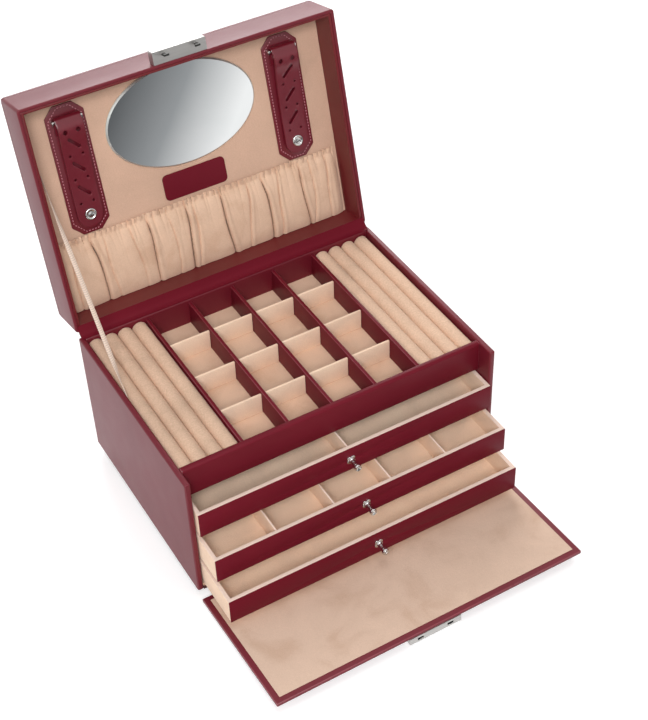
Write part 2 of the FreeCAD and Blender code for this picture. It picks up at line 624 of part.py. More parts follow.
def strap(side, sign, middle):
    """Leather strap folded round its bar, lying off the patch, with a round end and a press stud."""
    body = new_body(f"strap_{side}")
    left = f"{middle} - strap_width / 2"
    low = f"({PATCH_FACE} - strap_lift - strap_thick)"
    through = (f"{low} - overshoot", "strap_thick + 2 * overshoot")
    straight = f"({STRAP_REACH} - strap_width / 2)"
    rod((left, BAR_Y, BAR_Z), "X", "strap_loop", "strap_width", body)
    box((left, "strap_width"), (BAR_Y, straight), (low, "strap_thick"), body)
    rod((middle, f"{BAR_Y} + {straight}", low), "Z", "strap_width / 2", "strap_thick", body)
    rod((f"{left} - overshoot", BAR_Y, BAR_Z), "X", "strap_bar + pin_play", "strap_width + 2 * overshoot",
        body, cut=True)
    lean = f"rotation(vector(0; 0; 1); {-sign} * slot_lean_degrees)"
    for row in range(EARRING_ROWS):
        row_y = f"{BAR_Y} + hole_start + {row} * hole_pitch"
        if row % 2:
            slot = box((0, "slot_length"), (0, "slot_width"), (0, through[1]), body, cut=True)
            corner = (f"vector({middle}; {row_y}; {through[0]})"
                      f" + {lean} * vector(-slot_length / 2; -slot_width / 2; 0)")
            slot.setExpression("Placement", bind(f"placement({corner}; {lean})"))
            continue
        radius = "hole_small" if row else "hole_large"
        for half in (-0.5, 0.5):
            rod((f"{middle} + {half} * hole_spread", row_y, through[0]), "Z", radius, through[1],
                body, cut=True)
    keep(body, f"strap_{side}", LID)
    cap = new_body(f"stud_cap_{side}")
    rod((middle, STUD_Y, f"{low} - stud_height"), "Z", "stud_radius", "stud_height", cap)
    soften(cap, "0.6 * stud_height", face("Z", False))
    keep(cap, f"stud_cap_{side}", LID)


def pocket():
    """Gathered pocket: scalloped folds that run from the drawn-in mouth down to the full belly."""
    folds = int(size("pocket_folds"))
    half = size("case_width / 2 - lid_wall - lid_liner - pocket_side_gap")
    panel_z = size(LID_FACE)
    bottom_y = size(POCKET_FOOT)
    top_y = size(POCKET_TOP)
    middle_y = (bottom_y + top_y) / 2

    def outline(y, valley, swell):
        def point(x, out):
            return FreeCAD.Vector(x, y, panel_z - out)
        step = 2 * half / folds
        corners = [-half + step * i for i in range(folds + 1)]
        edges = []
        for index, start in enumerate(corners[:-1]):
            uneven = swell * (0.75 + 0.25 * math.cos(2.4 * index))
            peak = point(start + step * (0.5 + 0.12 * math.sin(1.7 * index)), valley + uneven)
            edges.append(Part.Arc(point(start, valley), peak, point(corners[index + 1], valley)).toShape())
        for a, b in (((half, valley), (half, 0)), ((half, 0), (-half, 0)), ((-half, 0), (-half, valley))):
            edges.append(Part.LineSegment(point(*a), point(*b)).toShape())
        return Part.Wire(edges)

    mouth = size("pocket_mouth")
    belly = size("pocket_belly")
    wires = [outline(top_y, mouth * 0.6, mouth * 0.4), outline(middle_y, belly * 0.6, belly * 0.3),
             outline(bottom_y, belly * 0.7, belly * 0.3)]
    lower = Part.makeLoft(wires[1:], True, True)
    upper = Part.makeLoft(wires[:2], True, True)
    feature = doc.addObject("Part::Feature", "pocket")
    feature.Shape = upper.fuse(lower)
    keep(feature, "pocket", LID)


def catch():
    """Bar on the lid's front, over the lock when shut, with two hooks that drop into the lock."""
    reach = "(flap_gap + flap_thick + lock_depth)"
    low = f"({LID_RIM} + catch_rise)"
    body = new_body("lid_catch")
    box(centred("lock_width"), (f"{LID_FRONT} - {reach}", reach), (low, "catch_height"), body)
    soften(body, "lock_round", all_of(face("Y", False), outside_of(face("Z", False))))
    hook_y = f"({LID_FRONT} - flap_gap - flap_thick - lock_depth / 2 - hook_thick / 2)"
    for side, sign in SIDES:
        middle = f"{sign} * hook_from_middle"
        box((f"{middle} - hook_width / 2", "hook_width"), (hook_y, "hook_thick"),
            (f"{low} - {HOOK_LENGTH}", HOOK_LENGTH), body)
        tooth = f"{middle} + {-sign} * (hook_width / 2 + hook_tooth / 2) - hook_tooth / 2"
        box((tooth, "hook_tooth"), (hook_y, "hook_thick"), (f"{low} - {HOOK_LENGTH}", "hook_tooth"), body)
    keep(body, "lid_catch", LID)


def handle():
    """Padded arch with flat end tabs on two capped posts, held by nuts under the lid's board."""
    tab_low = f"({LID_TOP} + pad_edge + pad_crown + post_height)"
    nut_low = f"({LID_TOP} - lid_board - nut_thick)"
    gap = "(handle_span - tab_length)"
    radius = crown(gap, "handle_rise")
    profile = add("Part::Ellipse", "handle_section")
    profile.setExpression("MajorRadius", bind("handle_width"))
    profile.setExpression("MinorRadius", bind("handle_half_thick"))
    apex = f"{tab_low} + tab_thick / 2 + handle_rise"
    turned = "rotation(vector(1; 1; 1); 120)"
    profile.setExpression("Placement", bind(f"placement(vector(0; {MIDDLE_Y}; {apex}); {turned})"))
    arch = doc.addObject("Part::Revolution", "handle_arch")
    arch.Source = profile
    arch.Axis = (0, 1, 0)
    arch.Solid = True
    arch.Symmetric = True
    arch.setExpression("Base.z", bind(f"{apex} - {radius}"))
    arch.setExpression("Angle", bind(f"2 * asin({gap} / 2 / {radius})"))
    parts = [arch]
    posts = []
    nuts = []
    for side, sign in SIDES:
        x = f"{sign} * handle_span / 2"
        tab = new_body(f"handle_tab_{side}")
        box((f"{x} - tab_length / 2", "tab_length"), (f"{MIDDLE_Y} - handle_width", "2 * handle_width"),
            (tab_low, "tab_thick"), tab)
        soften(tab, "tab_round", run_along("Z"))
        parts.append(tab)
        posts.append(fuse([
            rod((x, MIDDLE_Y, nut_low), "Z", "post_radius", f"{tab_low} + tab_thick - {nut_low}",
                label="post"),
            rod((x, MIDDLE_Y, f"{tab_low} + tab_thick"), "Z", "post_radius + cap_lip", "cap_thick",
                label="post_cap"),
            rod((x, MIDDLE_Y, f"{tab_low} - cap_thick"), "Z", "post_radius + cap_lip", "cap_thick",
                label="post_collar")], "handle_post"))
        nut = rod((x, MIDDLE_Y, nut_low), "Z", "post_radius + nut_wall", "nut_thick", label="nut")
        thread = rod((x, MIDDLE_Y, f"{nut_low} - overshoot"), "Z", "post_radius + pin_play",
                     "nut_thick + 2 * overshoot", label="thread")
        nuts.append(cut(nut, thread, "handle_nut"))
    holes = [rod((f"{sign} * handle_span / 2", MIDDLE_Y, f"{tab_low} - overshoot"), "Z",
                 "post_radius + pin_play", "tab_thick + 2 * overshoot", label="tab_hole")
             for side, sign in SIDES]
    keep(cut(fuse(parts, "handle_whole"), fuse(holes, "tab_holes"), "handle_strap"), "handle_strap", LID)
    group(posts, "handle_posts", LID)
    group(nuts, "handle_nuts", LID)


def ribbon():
    """Flat stay ribbon, drawn tight from the left wall of the tray to the lid's lining panel."""
    doc.recompute()
    lid_at = doc.getObject(LID).Placement
    low_x = size(f"ribbon_side_gap - {INNER_HALF}")
    low = FreeCAD.Vector(low_x, size("ribbon_low_y"), size(f"{WALL_TOP} - ribbon_low_drop"))
    high = lid_at.multVec(FreeCAD.Vector(low_x + size("ribbon_inset"), size(f"{LID_BACK} - ribbon_from_back"),
                                         size(f"{LID_FACE} - ribbon_end_gap")))
    run = high - low
    along_run = FreeCAD.Vector(run).normalize()
    flat = along_run.cross(FreeCAD.Vector(1, 0, 0)).normalize()
    thick = flat.cross(along_run).normalize()
    half = flat * (size("ribbon_width") / 2)
    depth = thick * (size("ribbon_thick") / 2)
    corners = [low + half + depth, low - half + depth, low - half - depth, low + half - depth]
    section = Part.Face(Part.makePolygon(corners + corners[:1]))
    feature = doc.addObject("Part::Feature", "stay_ribbon")
    feature.Shape = section.extrude(run)
    keep(feature, "stay_ribbon")
    print("ribbon length", round(run.Length, 1))


carcass()
tray()
for values in DRAWERS:
    drawer(*values)
hinges()
flap()
lid()
ribbon()
doc.recompute()

for obj in doc.Objects:
    if "Invalid" in obj.State or "Error" in obj.State:
        raise RuntimeError(f"{obj.Label} failed: {obj.State}")
for node in nodes:
    if node.Shape.isNull() or not node.Shape.isValid() or not node.Shape.Solids:
        raise RuntimeError(f"{node.Label} has no sound shape")

os.makedirs("parts", exist_ok=True)
for node in nodes:
    node.Shape.exportStep(f"parts/{node.Label}.step")
print(len(nodes), "nodes")
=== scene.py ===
import json
import math
import random
from contextlib import contextmanager

import bmesh
import bpy
from bpy.props import FloatProperty, FloatVectorProperty, IntProperty, PointerProperty
from mathutils import Matrix, Vector, noise


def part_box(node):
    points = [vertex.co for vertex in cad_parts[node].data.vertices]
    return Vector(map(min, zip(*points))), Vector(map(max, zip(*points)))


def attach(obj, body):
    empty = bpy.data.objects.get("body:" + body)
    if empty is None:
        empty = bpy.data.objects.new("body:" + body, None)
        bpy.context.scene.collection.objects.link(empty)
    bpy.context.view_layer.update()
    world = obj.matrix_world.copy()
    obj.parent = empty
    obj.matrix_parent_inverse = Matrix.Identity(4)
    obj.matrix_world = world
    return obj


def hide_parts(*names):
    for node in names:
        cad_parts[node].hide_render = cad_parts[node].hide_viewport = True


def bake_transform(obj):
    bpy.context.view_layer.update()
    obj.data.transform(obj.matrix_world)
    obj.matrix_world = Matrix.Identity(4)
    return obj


bl_info = {
    "name": "Leather jewellery case",
    "version": (1, 0, 0),
    "blender": (4, 5, 0),
    "location": "View3D > Sidebar > Jewellery case",
    "description": "Leather, velour and metal finishes and soft pieces for a jewellery case",
    "category": "Object",
}

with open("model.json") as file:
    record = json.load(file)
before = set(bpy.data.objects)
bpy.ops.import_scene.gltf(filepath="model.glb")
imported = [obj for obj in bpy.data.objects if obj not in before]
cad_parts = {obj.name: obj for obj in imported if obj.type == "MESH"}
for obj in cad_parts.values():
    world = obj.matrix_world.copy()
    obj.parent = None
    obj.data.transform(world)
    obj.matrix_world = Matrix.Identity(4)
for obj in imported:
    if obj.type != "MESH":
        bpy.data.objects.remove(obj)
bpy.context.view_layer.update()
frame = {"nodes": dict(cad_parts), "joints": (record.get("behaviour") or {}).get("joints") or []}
MM = 0.001
TINY = 1e-6
SIDES = {"left": -1, "right": 1}
DRAWERS = ("upper", "middle", "lower")
JOINTS = {joint["name"]: joint for joint in frame["joints"]}


def hinge_place(joint, turn):
    """The frame of a hinged panel: its origin on the hinge line, its Y and Z as with the case shut."""
    return Matrix.Translation(JOINTS[joint]["pos_m"]) @ Matrix.Rotation(math.radians(turn), 4, "X")


# The lid lies flat in its own frame, the lining facing down. The flap lies flat, the lining facing up.
LID = hinge_place("lid_hinge", JOINTS["lid_hinge"]["range_deg"][0])
FLAP = hinge_place("flap_hinge", -90 - JOINTS["flap_hinge"]["range_deg"][0])


def box_in(node, place):
    """Lowest and highest corner of a CAD node in a panel's own frame."""
    into = place.inverted()
    points = [into @ vertex.co for vertex in frame["nodes"][node].data.vertices]
    low = Vector([min(point[axis] for point in points) for axis in range(3)])
    high = Vector([max(point[axis] for point in points) for axis in range(3)])
    return low, high


POCKET_LOW, POCKET_HIGH = box_in("pocket", LID)
PAD_LOW, PAD_HIGH = box_in("lid_top_pad", LID)
PANEL_FACE = box_in("lid_lining_panel", LID)[0].z
# The ribbon's ends: by the left wall in the tray, and inside the lid's left side.
RIBBON_LOW = Vector((-0.1346, 0.015, 0.126))
RIBBON_HIGH = LID @ Vector((-0.1286, -0.1322, 0.0255))


# Sizes and colours that a user may change


def length(name, description, millimetres):
    return FloatProperty(name=name, description=description, default=millimetres * MM, min=0,
                         subtype="DISTANCE", unit="LENGTH", precision=5)


def tint(name, description, colour):
    return FloatVectorProperty(name=name, description=description, default=colour, size=3, min=0, max=1,
                               subtype="COLOR")


class CaseColours(bpy.types.PropertyGroup):
    leather: tint("Leather", "Burgundy of the covering leather", (0.150, 0.0085, 0.0185))
    leather_dark: tint("Leather, dark", "Burgundy in the leather's darker clouds", (0.136, 0.0074, 0.0166))
    # Turned edges are lighter partly from rubbing and partly as a painted highlight.
    leather_edge_wear_and_highlight: tint("Leather edge", "Burgundy where turned edges are rubbed", (0.235, 0.0300, 0.0450))
    liner: tint("Lid liner", "Brown-red of the strips inside the lid", (0.155, 0.0110, 0.0150))
    thread: tint("Thread", "Sewing thread on patches and handle", (0.600, 0.2300, 0.2700))
    velour: tint("Velour", "Peach velour of trays, rolls and lid", (0.730, 0.5050, 0.3650))
    velour_dark: tint("Velour, brushed", "Velour where the pile lies the other way",
                      (0.660, 0.4350, 0.3050))
    # The drawers' rims are painted lighter where light falls on their tops: a painted highlight.
    velour_rim_highlight: tint("Velour edge", "Pale rims of the drawers", (0.850, 0.6600, 0.5600))
    lid_velour: tint("Lid velour", "Lining panel inside the lid", (0.660, 0.4350, 0.3200))
    # Near-white velour for the drawers and the tray's cross walls: painted light, lighter than the velour
    # to make up for the shade inside them.
    velour_painted_light: tint("Drawer velour", "Lining of the drawers", (0.980, 0.7250, 0.5450))
    suede: tint("Suede", "Lining of the drop front", (0.700, 0.5050, 0.3900))
    suede_dark: tint("Suede, brushed", "Darker clouds of that lining", (0.625, 0.4300, 0.3200))
    ribbon: tint("Ribbon", "Ribbon that stays the lid", (0.780, 0.6100, 0.5000))
    nickel: tint("Nickel", "Satin plated lock and catch", (0.500, 0.4850, 0.4700))
    chrome: tint("Chrome", "Polished knobs, posts and studs", (0.640, 0.6250, 0.6100))
    steel: tint("Steel", "Zinc plated hinges and nuts", (0.480, 0.4700, 0.4500))
    board: tint("Board", "Bare board of the plinth and shelves", (0.080, 0.0180, 0.0200))


class CaseSizes(bpy.types.PropertyGroup):
    board_edge: length("Board edge", "Rounding of leather turned over a board's edge", 0.7)
    panel_edge: length("Thin edge", "Rounding of thin covered walls", 0.45)
    metal_edge: length("Metal edge", "Rounding of the fittings' edges", 0.25)
    stitch_pitch: length("Stitch pitch", "From one stitch to the next", 2.7)
    stitch_length: length("Stitch length", "Length of one stitch", 1.8)
    stitch_width: length("Stitch width", "Width of one stitch", 0.85)
    stitch_inset: length("Stitch inset", "Seam's distance from the leather's edge", 2.1)
    pocket_cloth: length("Pocket cloth", "Thickness of the gathered cloth", 0.5)
    pocket_depth: length("Pocket depth", "How far the pocket's belly stands off the lid", 7.2)
    pad_dimple: length("Pad dimple", "How deep the posts draw the padded top in", 1.8)
    gathers: IntProperty(name="Gathers", description="Small gathers along the pocket's mouth", default=52,
                         min=4)
    roll_cuts: IntProperty(name="Roll cuts", description="Cuts along one ring roll", default=26, min=2)


# Modelling steps


def only(obj):
    bpy.ops.object.select_all(action="DESELECT")
    obj.select_set(True)
    bpy.context.view_layer.objects.active = obj


@contextmanager
def edit_mode(obj):
    only(obj)
    bpy.ops.object.mode_set(mode="EDIT")
    yield
    bpy.ops.object.mode_set(mode="OBJECT")


def pick(obj, kind, wanted):
    """In edit mode, selects just the faces, edges or vertices that the test wants."""
    bpy.ops.mesh.select_mode(type=kind)
    bpy.ops.mesh.select_all(action="DESELECT")
    mesh = bmesh.from_edit_mesh(obj.data)
    for item in {"FACE": mesh.faces, "EDGE": mesh.edges, "VERT": mesh.verts}[kind]:
        if wanted(item):
            item.select_set(True)
    mesh.select_flush_mode()
    bmesh.update_edit_mesh(obj.data)


def middle(item):
    """Middle point of an edge or a face."""
    points = [vertex.co for vertex in item.verts]
    return sum(points, Vector()) / len(points)


def runs(edge, axis):
    """Whether an edge runs along an axis."""
    span = edge.verts[1].co - edge.verts[0].co
    return abs(span[axis]) > 0.99 * span.length


def past(edge, axis, level, way):
    """Whether an edge lies wholly past a level, up or down an axis."""
    return all(way * (vertex.co[axis] - level) > 0 for vertex in edge.verts)


def eased(share):
    """A share from 0 to 1 that starts and ends gently."""
    return share * share * (3 - 2 * share)


def start(primitive, name, scale=(1, 1, 1), **settings):
    """Adds a primitive with nothing else selected, its place and size in its mesh."""
    bpy.ops.object.select_all(action="DESELECT")
    getattr(bpy.ops.mesh, f"primitive_{primitive}_add")(**settings)
    obj = bpy.context.object
    obj.name = name
    obj.scale = scale
    bpy.ops.object.transform_apply(location=True, rotation=True, scale=True)
    return obj


def modify(obj, kind, **settings):
    """Adds a modifier with these settings and applies it."""
    only(obj)
    bpy.ops.object.modifier_add(type=kind)
    modifier = obj.modifiers[-1]
    for key, value in settings.items():
        setattr(modifier, key, value)
    bpy.ops.object.modifier_apply(modifier=modifier.name)


def smooth(obj, degrees=35):
    only(obj)
    bpy.ops.object.shade_smooth_by_angle(angle=math.radians(degrees))


def settle(obj, place):
    """Moves a piece from a panel's own frame into the case's."""
    obj.matrix_world = place
    only(obj)
    bpy.ops.object.transform_apply(location=True, rotation=True, scale=True)


def shape(obj, move):
    """Moves each vertex to where the function puts it."""
    for vertex in obj.data.vertices:
        vertex.co = move(vertex.co)
    obj.data.update()


def outward(obj):
    with edit_mode(obj):
        bpy.ops.mesh.select_all(action="SELECT")
        bpy.ops.mesh.remove_doubles(threshold=TINY)
        bpy.ops.mesh.normals_make_consistent(inside=False)


def join(pieces, name):
    bpy.ops.object.select_all(action="DESELECT")
    for piece in pieces:
        piece.select_set(True)
    bpy.context.view_layer.objects.active = pieces[0]
    bpy.ops.object.join()
    joined = bpy.context.object
    joined.name = name
    return joined


def duplicate(obj, name):
    only(obj)
    bpy.ops.object.duplicate()
    copy = bpy.context.object
    copy.name = name
    return copy


def wear(obj, finishes):
    """Puts the finishes in the piece's slots, so that its faces keep their choice of them."""
    slots = obj.data.materials
    while len(slots) > len(finishes):
        slots.pop()
    while len(slots) < len(finishes):
        slots.append(None)
    for index, material in enumerate(finishes):
        slots[index] = material


def dress(obj, body, slot, finishes, *nodes):
    """Gives a piece its finishes and its body, and hides the CAD nodes that it stands for. Its slot is not
    used.
    """
    obj.data.name = obj.name
    wear(obj, [FINISHES[finish] for finish in finishes])
    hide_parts(*nodes)
    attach(obj, body)
    return obj


def second_finish(obj, wanted):
    """Gives the faces that the test wants the piece's second finish."""
    for face in obj.data.polygons:
        if wanted(face):
            face.material_index = 1


def turned_edges(node, name, width, segments=2, edge_slot=-1):
    """A copy of a CAD node whose sharp edges are rounded, in a finish of their own if a slot is given."""
    piece = bpy.data.objects.new(name, frame["nodes"][node].data.copy())
    bpy.context.scene.collection.objects.link(piece)
    with edit_mode(piece):
        bpy.ops.mesh.select_all(action="SELECT")
        bpy.ops.mesh.remove_doubles(threshold=TINY)
        bpy.ops.mesh.dissolve_limited(angle_limit=math.radians(0.5))
    if edge_slot > 0:
        wear(piece, [None] * (edge_slot + 1))
    modify(piece, "BEVEL", width=width, segments=segments, limit_method="ANGLE",
           angle_limit=math.radians(30), use_clamp_overlap=True, material=edge_slot)
    smooth(piece)
    return piece


# Finishes


def add_node(tree, kind, settings=None, **inputs):
    made = tree.nodes.new(kind)
    for key, value in (settings or {}).items():
        setattr(made, key, value)
    for key, value in inputs.items():
        socket = made.inputs[key.replace("_", " ")]
        if isinstance(value, bpy.types.NodeSocket):
            tree.links.new(value, socket)
        else:
            socket.default_value = value
    return made


def clouds(tree, scale, detail=2.0, roughness=0.5, distortion=0.0, stretch=(1, 1, 1)):
    """Soft noise on the piece's own coordinates."""
    where = add_node(tree, "ShaderNodeTexCoord").outputs["Object"]
    mapped = add_node(tree, "ShaderNodeMapping", Vector=where, Scale=stretch).outputs["Vector"]
    return add_node(tree, "ShaderNodeTexNoise", Vector=mapped, Scale=scale, Detail=detail,
                    Roughness=roughness, Distortion=distortion).outputs["Fac"]


def cells(tree, scale):
    """Distance to the nearest pore."""
    where = add_node(tree, "ShaderNodeTexCoord").outputs["Object"]
    return add_node(tree, "ShaderNodeTexVoronoi", Vector=where, Scale=scale).outputs["Distance"]


def ramp(tree, value, stops):
    made = add_node(tree, "ShaderNodeValToRGB", Fac=value)
    elements = made.color_ramp.elements
    while len(elements) < len(stops):
        elements.new(0.5)
    for element, (at, colour) in zip(elements, stops):
        element.position = at
        element.color = (*colour, 1)
    return made.outputs["Color"]


def between(tree, value, low, high, bottom=0.3, top=0.7):
    """A value spread from its range between bottom and top to the one between low and high."""
    return add_node(tree, "ShaderNodeMapRange", Value=value, From_Min=bottom, From_Max=top, To_Min=low,
                    To_Max=high).outputs["Result"]


def relief(tree, height, strength, depth, under=None):
    inputs = {"Height": height, "Strength": strength, "Distance": depth}
    if under:
        inputs["Normal"] = under
    return add_node(tree, "ShaderNodeBump", **inputs).outputs["Normal"]


def shaded(colour, factor):
    return tuple(min(1, channel * factor) for channel in colour)


def new_finish(name, **sockets):
    material = bpy.data.materials.new(name)
    material.use_nodes = True
    shader = material.node_tree.nodes["Principled BSDF"]
    for key, value in sockets.items():
        shader.inputs[key.replace("_", " ")].default_value = value
    return material, material.node_tree, shader.inputs


def join_to(tree, socket, output):
    tree.links.new(output, socket)


def leather(name, light, dark, gloss=0.46, coat=0.05, shine=0.35):
    """Smooth calf leather over board: soft clouds of colour, fine pores, slow waves in the shine."""
    material, tree, inputs = new_finish(name, Coat_Weight=coat, Coat_Roughness=0.18, Coat_IOR=1.5,
                                        Specular_IOR_Level=shine)
    join_to(tree, inputs["Base Color"], ramp(tree, clouds(tree, 16, 3), [(0.30, dark), (0.70, light)]))
    join_to(tree, inputs["Roughness"], between(tree, clouds(tree, 45, 3), gloss - 0.015, gloss + 0.02))
    waves = relief(tree, clouds(tree, 11, 1), 0.012, 0.01)
    pores = relief(tree, cells(tree, 1100), 0.06, 0.0004, waves)
    join_to(tree, inputs["Normal"], relief(tree, clouds(tree, 700, 2), 0.05, 0.0005, pores))
    return material


def pile(name, light, dark, size=28, grain=0.35, sheen=0.15, nap_scale=1300, fleck=0.5):
    """Short brushed pile: clouds where it lies both ways, and a fine nap."""
    material, tree, inputs = new_finish(name, Sheen_Weight=sheen, Sheen_Roughness=0.45,
                                        Sheen_Tint=(1.0, 0.88, 0.80, 1), Specular_IOR_Level=0.1)
    brushed = clouds(tree, size, 4, 0.55, 0.6)
    broad = ramp(tree, brushed, [(0.32, dark), (0.50, light), (0.68, shaded(light, 1.05))])
    nap = clouds(tree, nap_scale, 2, 0.6)
    flecks = ramp(tree, nap, [(0.30, (0.80, 0.78, 0.76)), (0.70, (1.0, 1.0, 1.0))])
    mixed = add_node(tree, "ShaderNodeMixRGB", {"blend_type": "MULTIPLY"}, Fac=fleck, Color1=broad,
                     Color2=flecks)
    join_to(tree, inputs["Base Color"], mixed.outputs["Color"])
    join_to(tree, inputs["Roughness"], between(tree, brushed, 0.86, 0.96))
    soft = relief(tree, clouds(tree, 420, 3), 0.16, 0.0008)
    join_to(tree, inputs["Normal"], relief(tree, nap, grain, 0.0005, soft))
    return material


def plated(name, colour, gloss, spread, stretch=(1, 1, 1), scale=90, grain=0.02):
    """Plated metal: even colour, faint wiped marks in its gloss."""
    material, tree, inputs = new_finish(name, Metallic=1.0)
    marks = clouds(tree, scale, 3, 0.6, 0, stretch)
    join_to(tree, inputs["Base Color"], ramp(tree, marks, [(0.3, shaded(colour, 0.92)), (0.7, colour)]))
    join_to(tree, inputs["Roughness"], between(tree, marks, gloss, gloss + spread))
    scratches = clouds(tree, scale * 12, 2, 0.5, 0, stretch)
    join_to(tree, inputs["Normal"], relief(tree, scratches, grain, 0.0002))
    return material


def twisted(name, colour, pitch, axis):
    """Twisted thread or woven ribbon, with fine bands along an axis."""
    material, tree, inputs = new_finish(name, Sheen_Weight=0.2, Specular_IOR_Level=0.3)
    where = add_node(tree, "ShaderNodeTexCoord").outputs["Object"]
    bands = add_node(tree, "ShaderNodeTexWave", {"bands_direction": axis}, Vector=where, Scale=pitch,
                     Distortion=1.5, Detail=2.0, Detail_Scale=2.0).outputs["Fac"]
    join_to(tree, inputs["Base Color"], ramp(tree, bands, [(0.1, shaded(colour, 0.78)), (0.8, colour)]))
    join_to(tree, inputs["Roughness"], between(tree, clouds(tree, 300), 0.6, 0.75))
    join_to(tree, inputs["Normal"], relief(tree, bands, 0.25, 0.0003))
    return material


def silvered(name):
    """Mirror glass with the faint haze of wiping."""
    material, tree, inputs = new_finish(name, Metallic=1.0)
    haze = clouds(tree, 24, 3, 0.5, 0.4)
    silver = [(0.3, (0.88, 0.90, 0.90)), (0.7, (0.93, 0.94, 0.94))]
    join_to(tree, inputs["Base Color"], ramp(tree, haze, silver))
    join_to(tree, inputs["Roughness"], between(tree, haze, 0.0, 0.015))
    join_to(tree, inputs["Normal"], relief(tree, clouds(tree, 9, 1), 0.004, 0.002))
    return material


def make_finishes(colours):
    """One material for each finish of the case."""
    burgundy = tuple(colours.leather), tuple(colours.leather_dark)
    velour, brushed = colours.velour, colours.velour_dark

    def pair(colour, light, dark):
        """Two shades of a colour, the lighter one first."""
        return shaded(colour, light), shaded(colour, dark)

    return {
        "leather": leather("burgundy_leather", *burgundy),
        "padded_leather": leather("padded_leather", *burgundy, gloss=0.38, coat=0.2, shine=0.4),
        # Lighter turned edges: partly rubbed wear, partly a painted highlight.
        "edge_wear_and_highlight": leather("edge_wear_and_highlight", *pair(colours.leather_edge_wear_and_highlight, 1, 0.8), gloss=0.28, coat=0.35,
                                shine=0.5),
        "strap_leather": leather("strap_leather", *burgundy, gloss=0.30, coat=0.35, shine=0.4),
        "front_leather": leather("drawer_leather", *burgundy, gloss=0.42, coat=0.01, shine=0.06),
        "tray_leather": leather("tray_leather", *burgundy, gloss=0.42, coat=0.02, shine=0.10),
        "liner": leather("lid_liner_leather", *pair(colours.liner, 1, 0.8), gloss=0.40, coat=0.1,
                         shine=0.3),
        "thread": twisted("sewing_thread", tuple(colours.thread), 700, "DIAGONAL"),
        "velour": pile("peach_velour", tuple(velour), tuple(brushed)),
        "rolled_velour": pile("rolled_velour", *pair(velour, 1.02, 0.93), size=30, grain=0.6,
                              nap_scale=750, fleck=0.8),
        "pocket_velour": pile("pocket_velour", shaded(velour, 1.04), shaded(brushed, 1.05), size=40,
                              grain=0.3, sheen=0.3),
        # Darker velour for the pocket's folds and creases: painted shade.
        "pocket_fold_shade": pile("pocket_fold_shade", *pair(brushed, 0.72, 0.62), size=60),
        "pocket_crease_shade": pile("pocket_crease_shade", *pair(brushed, 0.46, 0.38), size=60),
        "lid_velour": pile("lid_velour", *pair(colours.lid_velour, 1, 0.92), size=20, grain=0.3),
        # A lighter copy of the velour: painted light for the shaded drawers and cells.
        "velour_painted_light": pile("velour_painted_light", *pair(colours.velour_painted_light, 1, 0.92)),
        # Pale velour for the tops of the drawers' rims: a painted highlight.
        "velour_rim_highlight": pile("velour_rim_highlight", *pair(colours.velour_rim_highlight, 1, 0.92), size=60, grain=0.2),
        "suede": pile("flap_suede", tuple(colours.suede), tuple(colours.suede_dark), size=26, grain=0.3),
        "ribbon": twisted("woven_ribbon", tuple(colours.ribbon), 260, "Z"),
        "nickel": plated("satin_nickel", tuple(colours.nickel), gloss=0.32, spread=0.06,
                         stretch=(1, 14, 14), scale=40, grain=0.01),
        "chrome": plated("polished_chrome", tuple(colours.chrome), gloss=0.15, spread=0.08),
        "steel": plated("zinc_steel", tuple(colours.steel), gloss=0.35, spread=0.15),
        # Near-black steel: painted shade for the catch's hooks and the keyway.
        "steel_painted_shade": plated("steel_painted_shade", shaded(colours.steel, 0.10), gloss=0.45, spread=0.1),
        "mirror": silvered("mirror_silver"),
        "glass_edge": plated("ground_glass_edge", (0.70, 0.74, 0.72), gloss=0.40, spread=0.12),
        "board": leather("covered_board", *pair(colours.board, 1, 0.7), gloss=0.6, coat=0.0),
    }


FINISHES = {}


def paint(finish, *nodes):
    """Gives CAD nodes that keep their shape a finish."""
    for node in nodes:
        data = frame["nodes"][node].data
        data.materials.clear()
        data.materials.append(FINISHES[finish])


def covered(node, body, slot, finish, width, segments=2):
    """A CAD node with its edges turned, under one finish."""
    piece = turned_edges(node, f"{node}_covered", width, segments)
    return dress(piece, body, slot, [finish], node)


def plate(node, body, slot, finish, width):
    """A metal fitting with eased edges and faces that shine evenly."""
    piece = turned_edges(node, f"{node}_covered", width)
    modify(piece, "WEIGHTED_NORMAL", keep_sharp=True)
    return dress(piece, body, slot, [finish], node)


def bound(node, body, finish, width):
    """A leather-covered board whose turned edges take a lighter, glossier finish: partly rubbed by use,
    partly a painted highlight.
    """
    piece = turned_edges(node, f"{node}_covered", width, 3, 1)
    return dress(piece, body, "burgundy_leather", [finish, "edge_wear_and_highlight"], node)


class CASE_OT_finishes(bpy.types.Operator):
    """Makes the leather, velour, metal and glass"""
    bl_idname = "jewellery_case.finishes"
    bl_label = "Finishes"

    def execute(self, context):
        FINISHES.update(make_finishes(context.scene.case_colours))
        return {"FINISHED"}


class CASE_OT_carcass(bpy.types.Operator):
    """Covers the case's boards with leather and its hinges with metal"""
    bl_idname = "jewellery_case.carcass"
    bl_label = "Carcass"

    def execute(self, context):
        sizes = context.scene.case_sizes
        for node in ("left_wall", "right_wall", "back_wall", "flap_hinge_rail"):
            bound(node, "case", "leather", sizes.board_edge)
        covered("plinth", "case", "board", "board", sizes.board_edge)
        paint("board", "base_board", "drawer_shelves", "tray_floor")
        paint("velour", "floor_lining")
        paint("steel", "lid_hinge_case_leaf", "lid_hinge_pin", "lid_hinge_lid_leaf", "flap_hinge_pin")
        return {"FINISHED"}


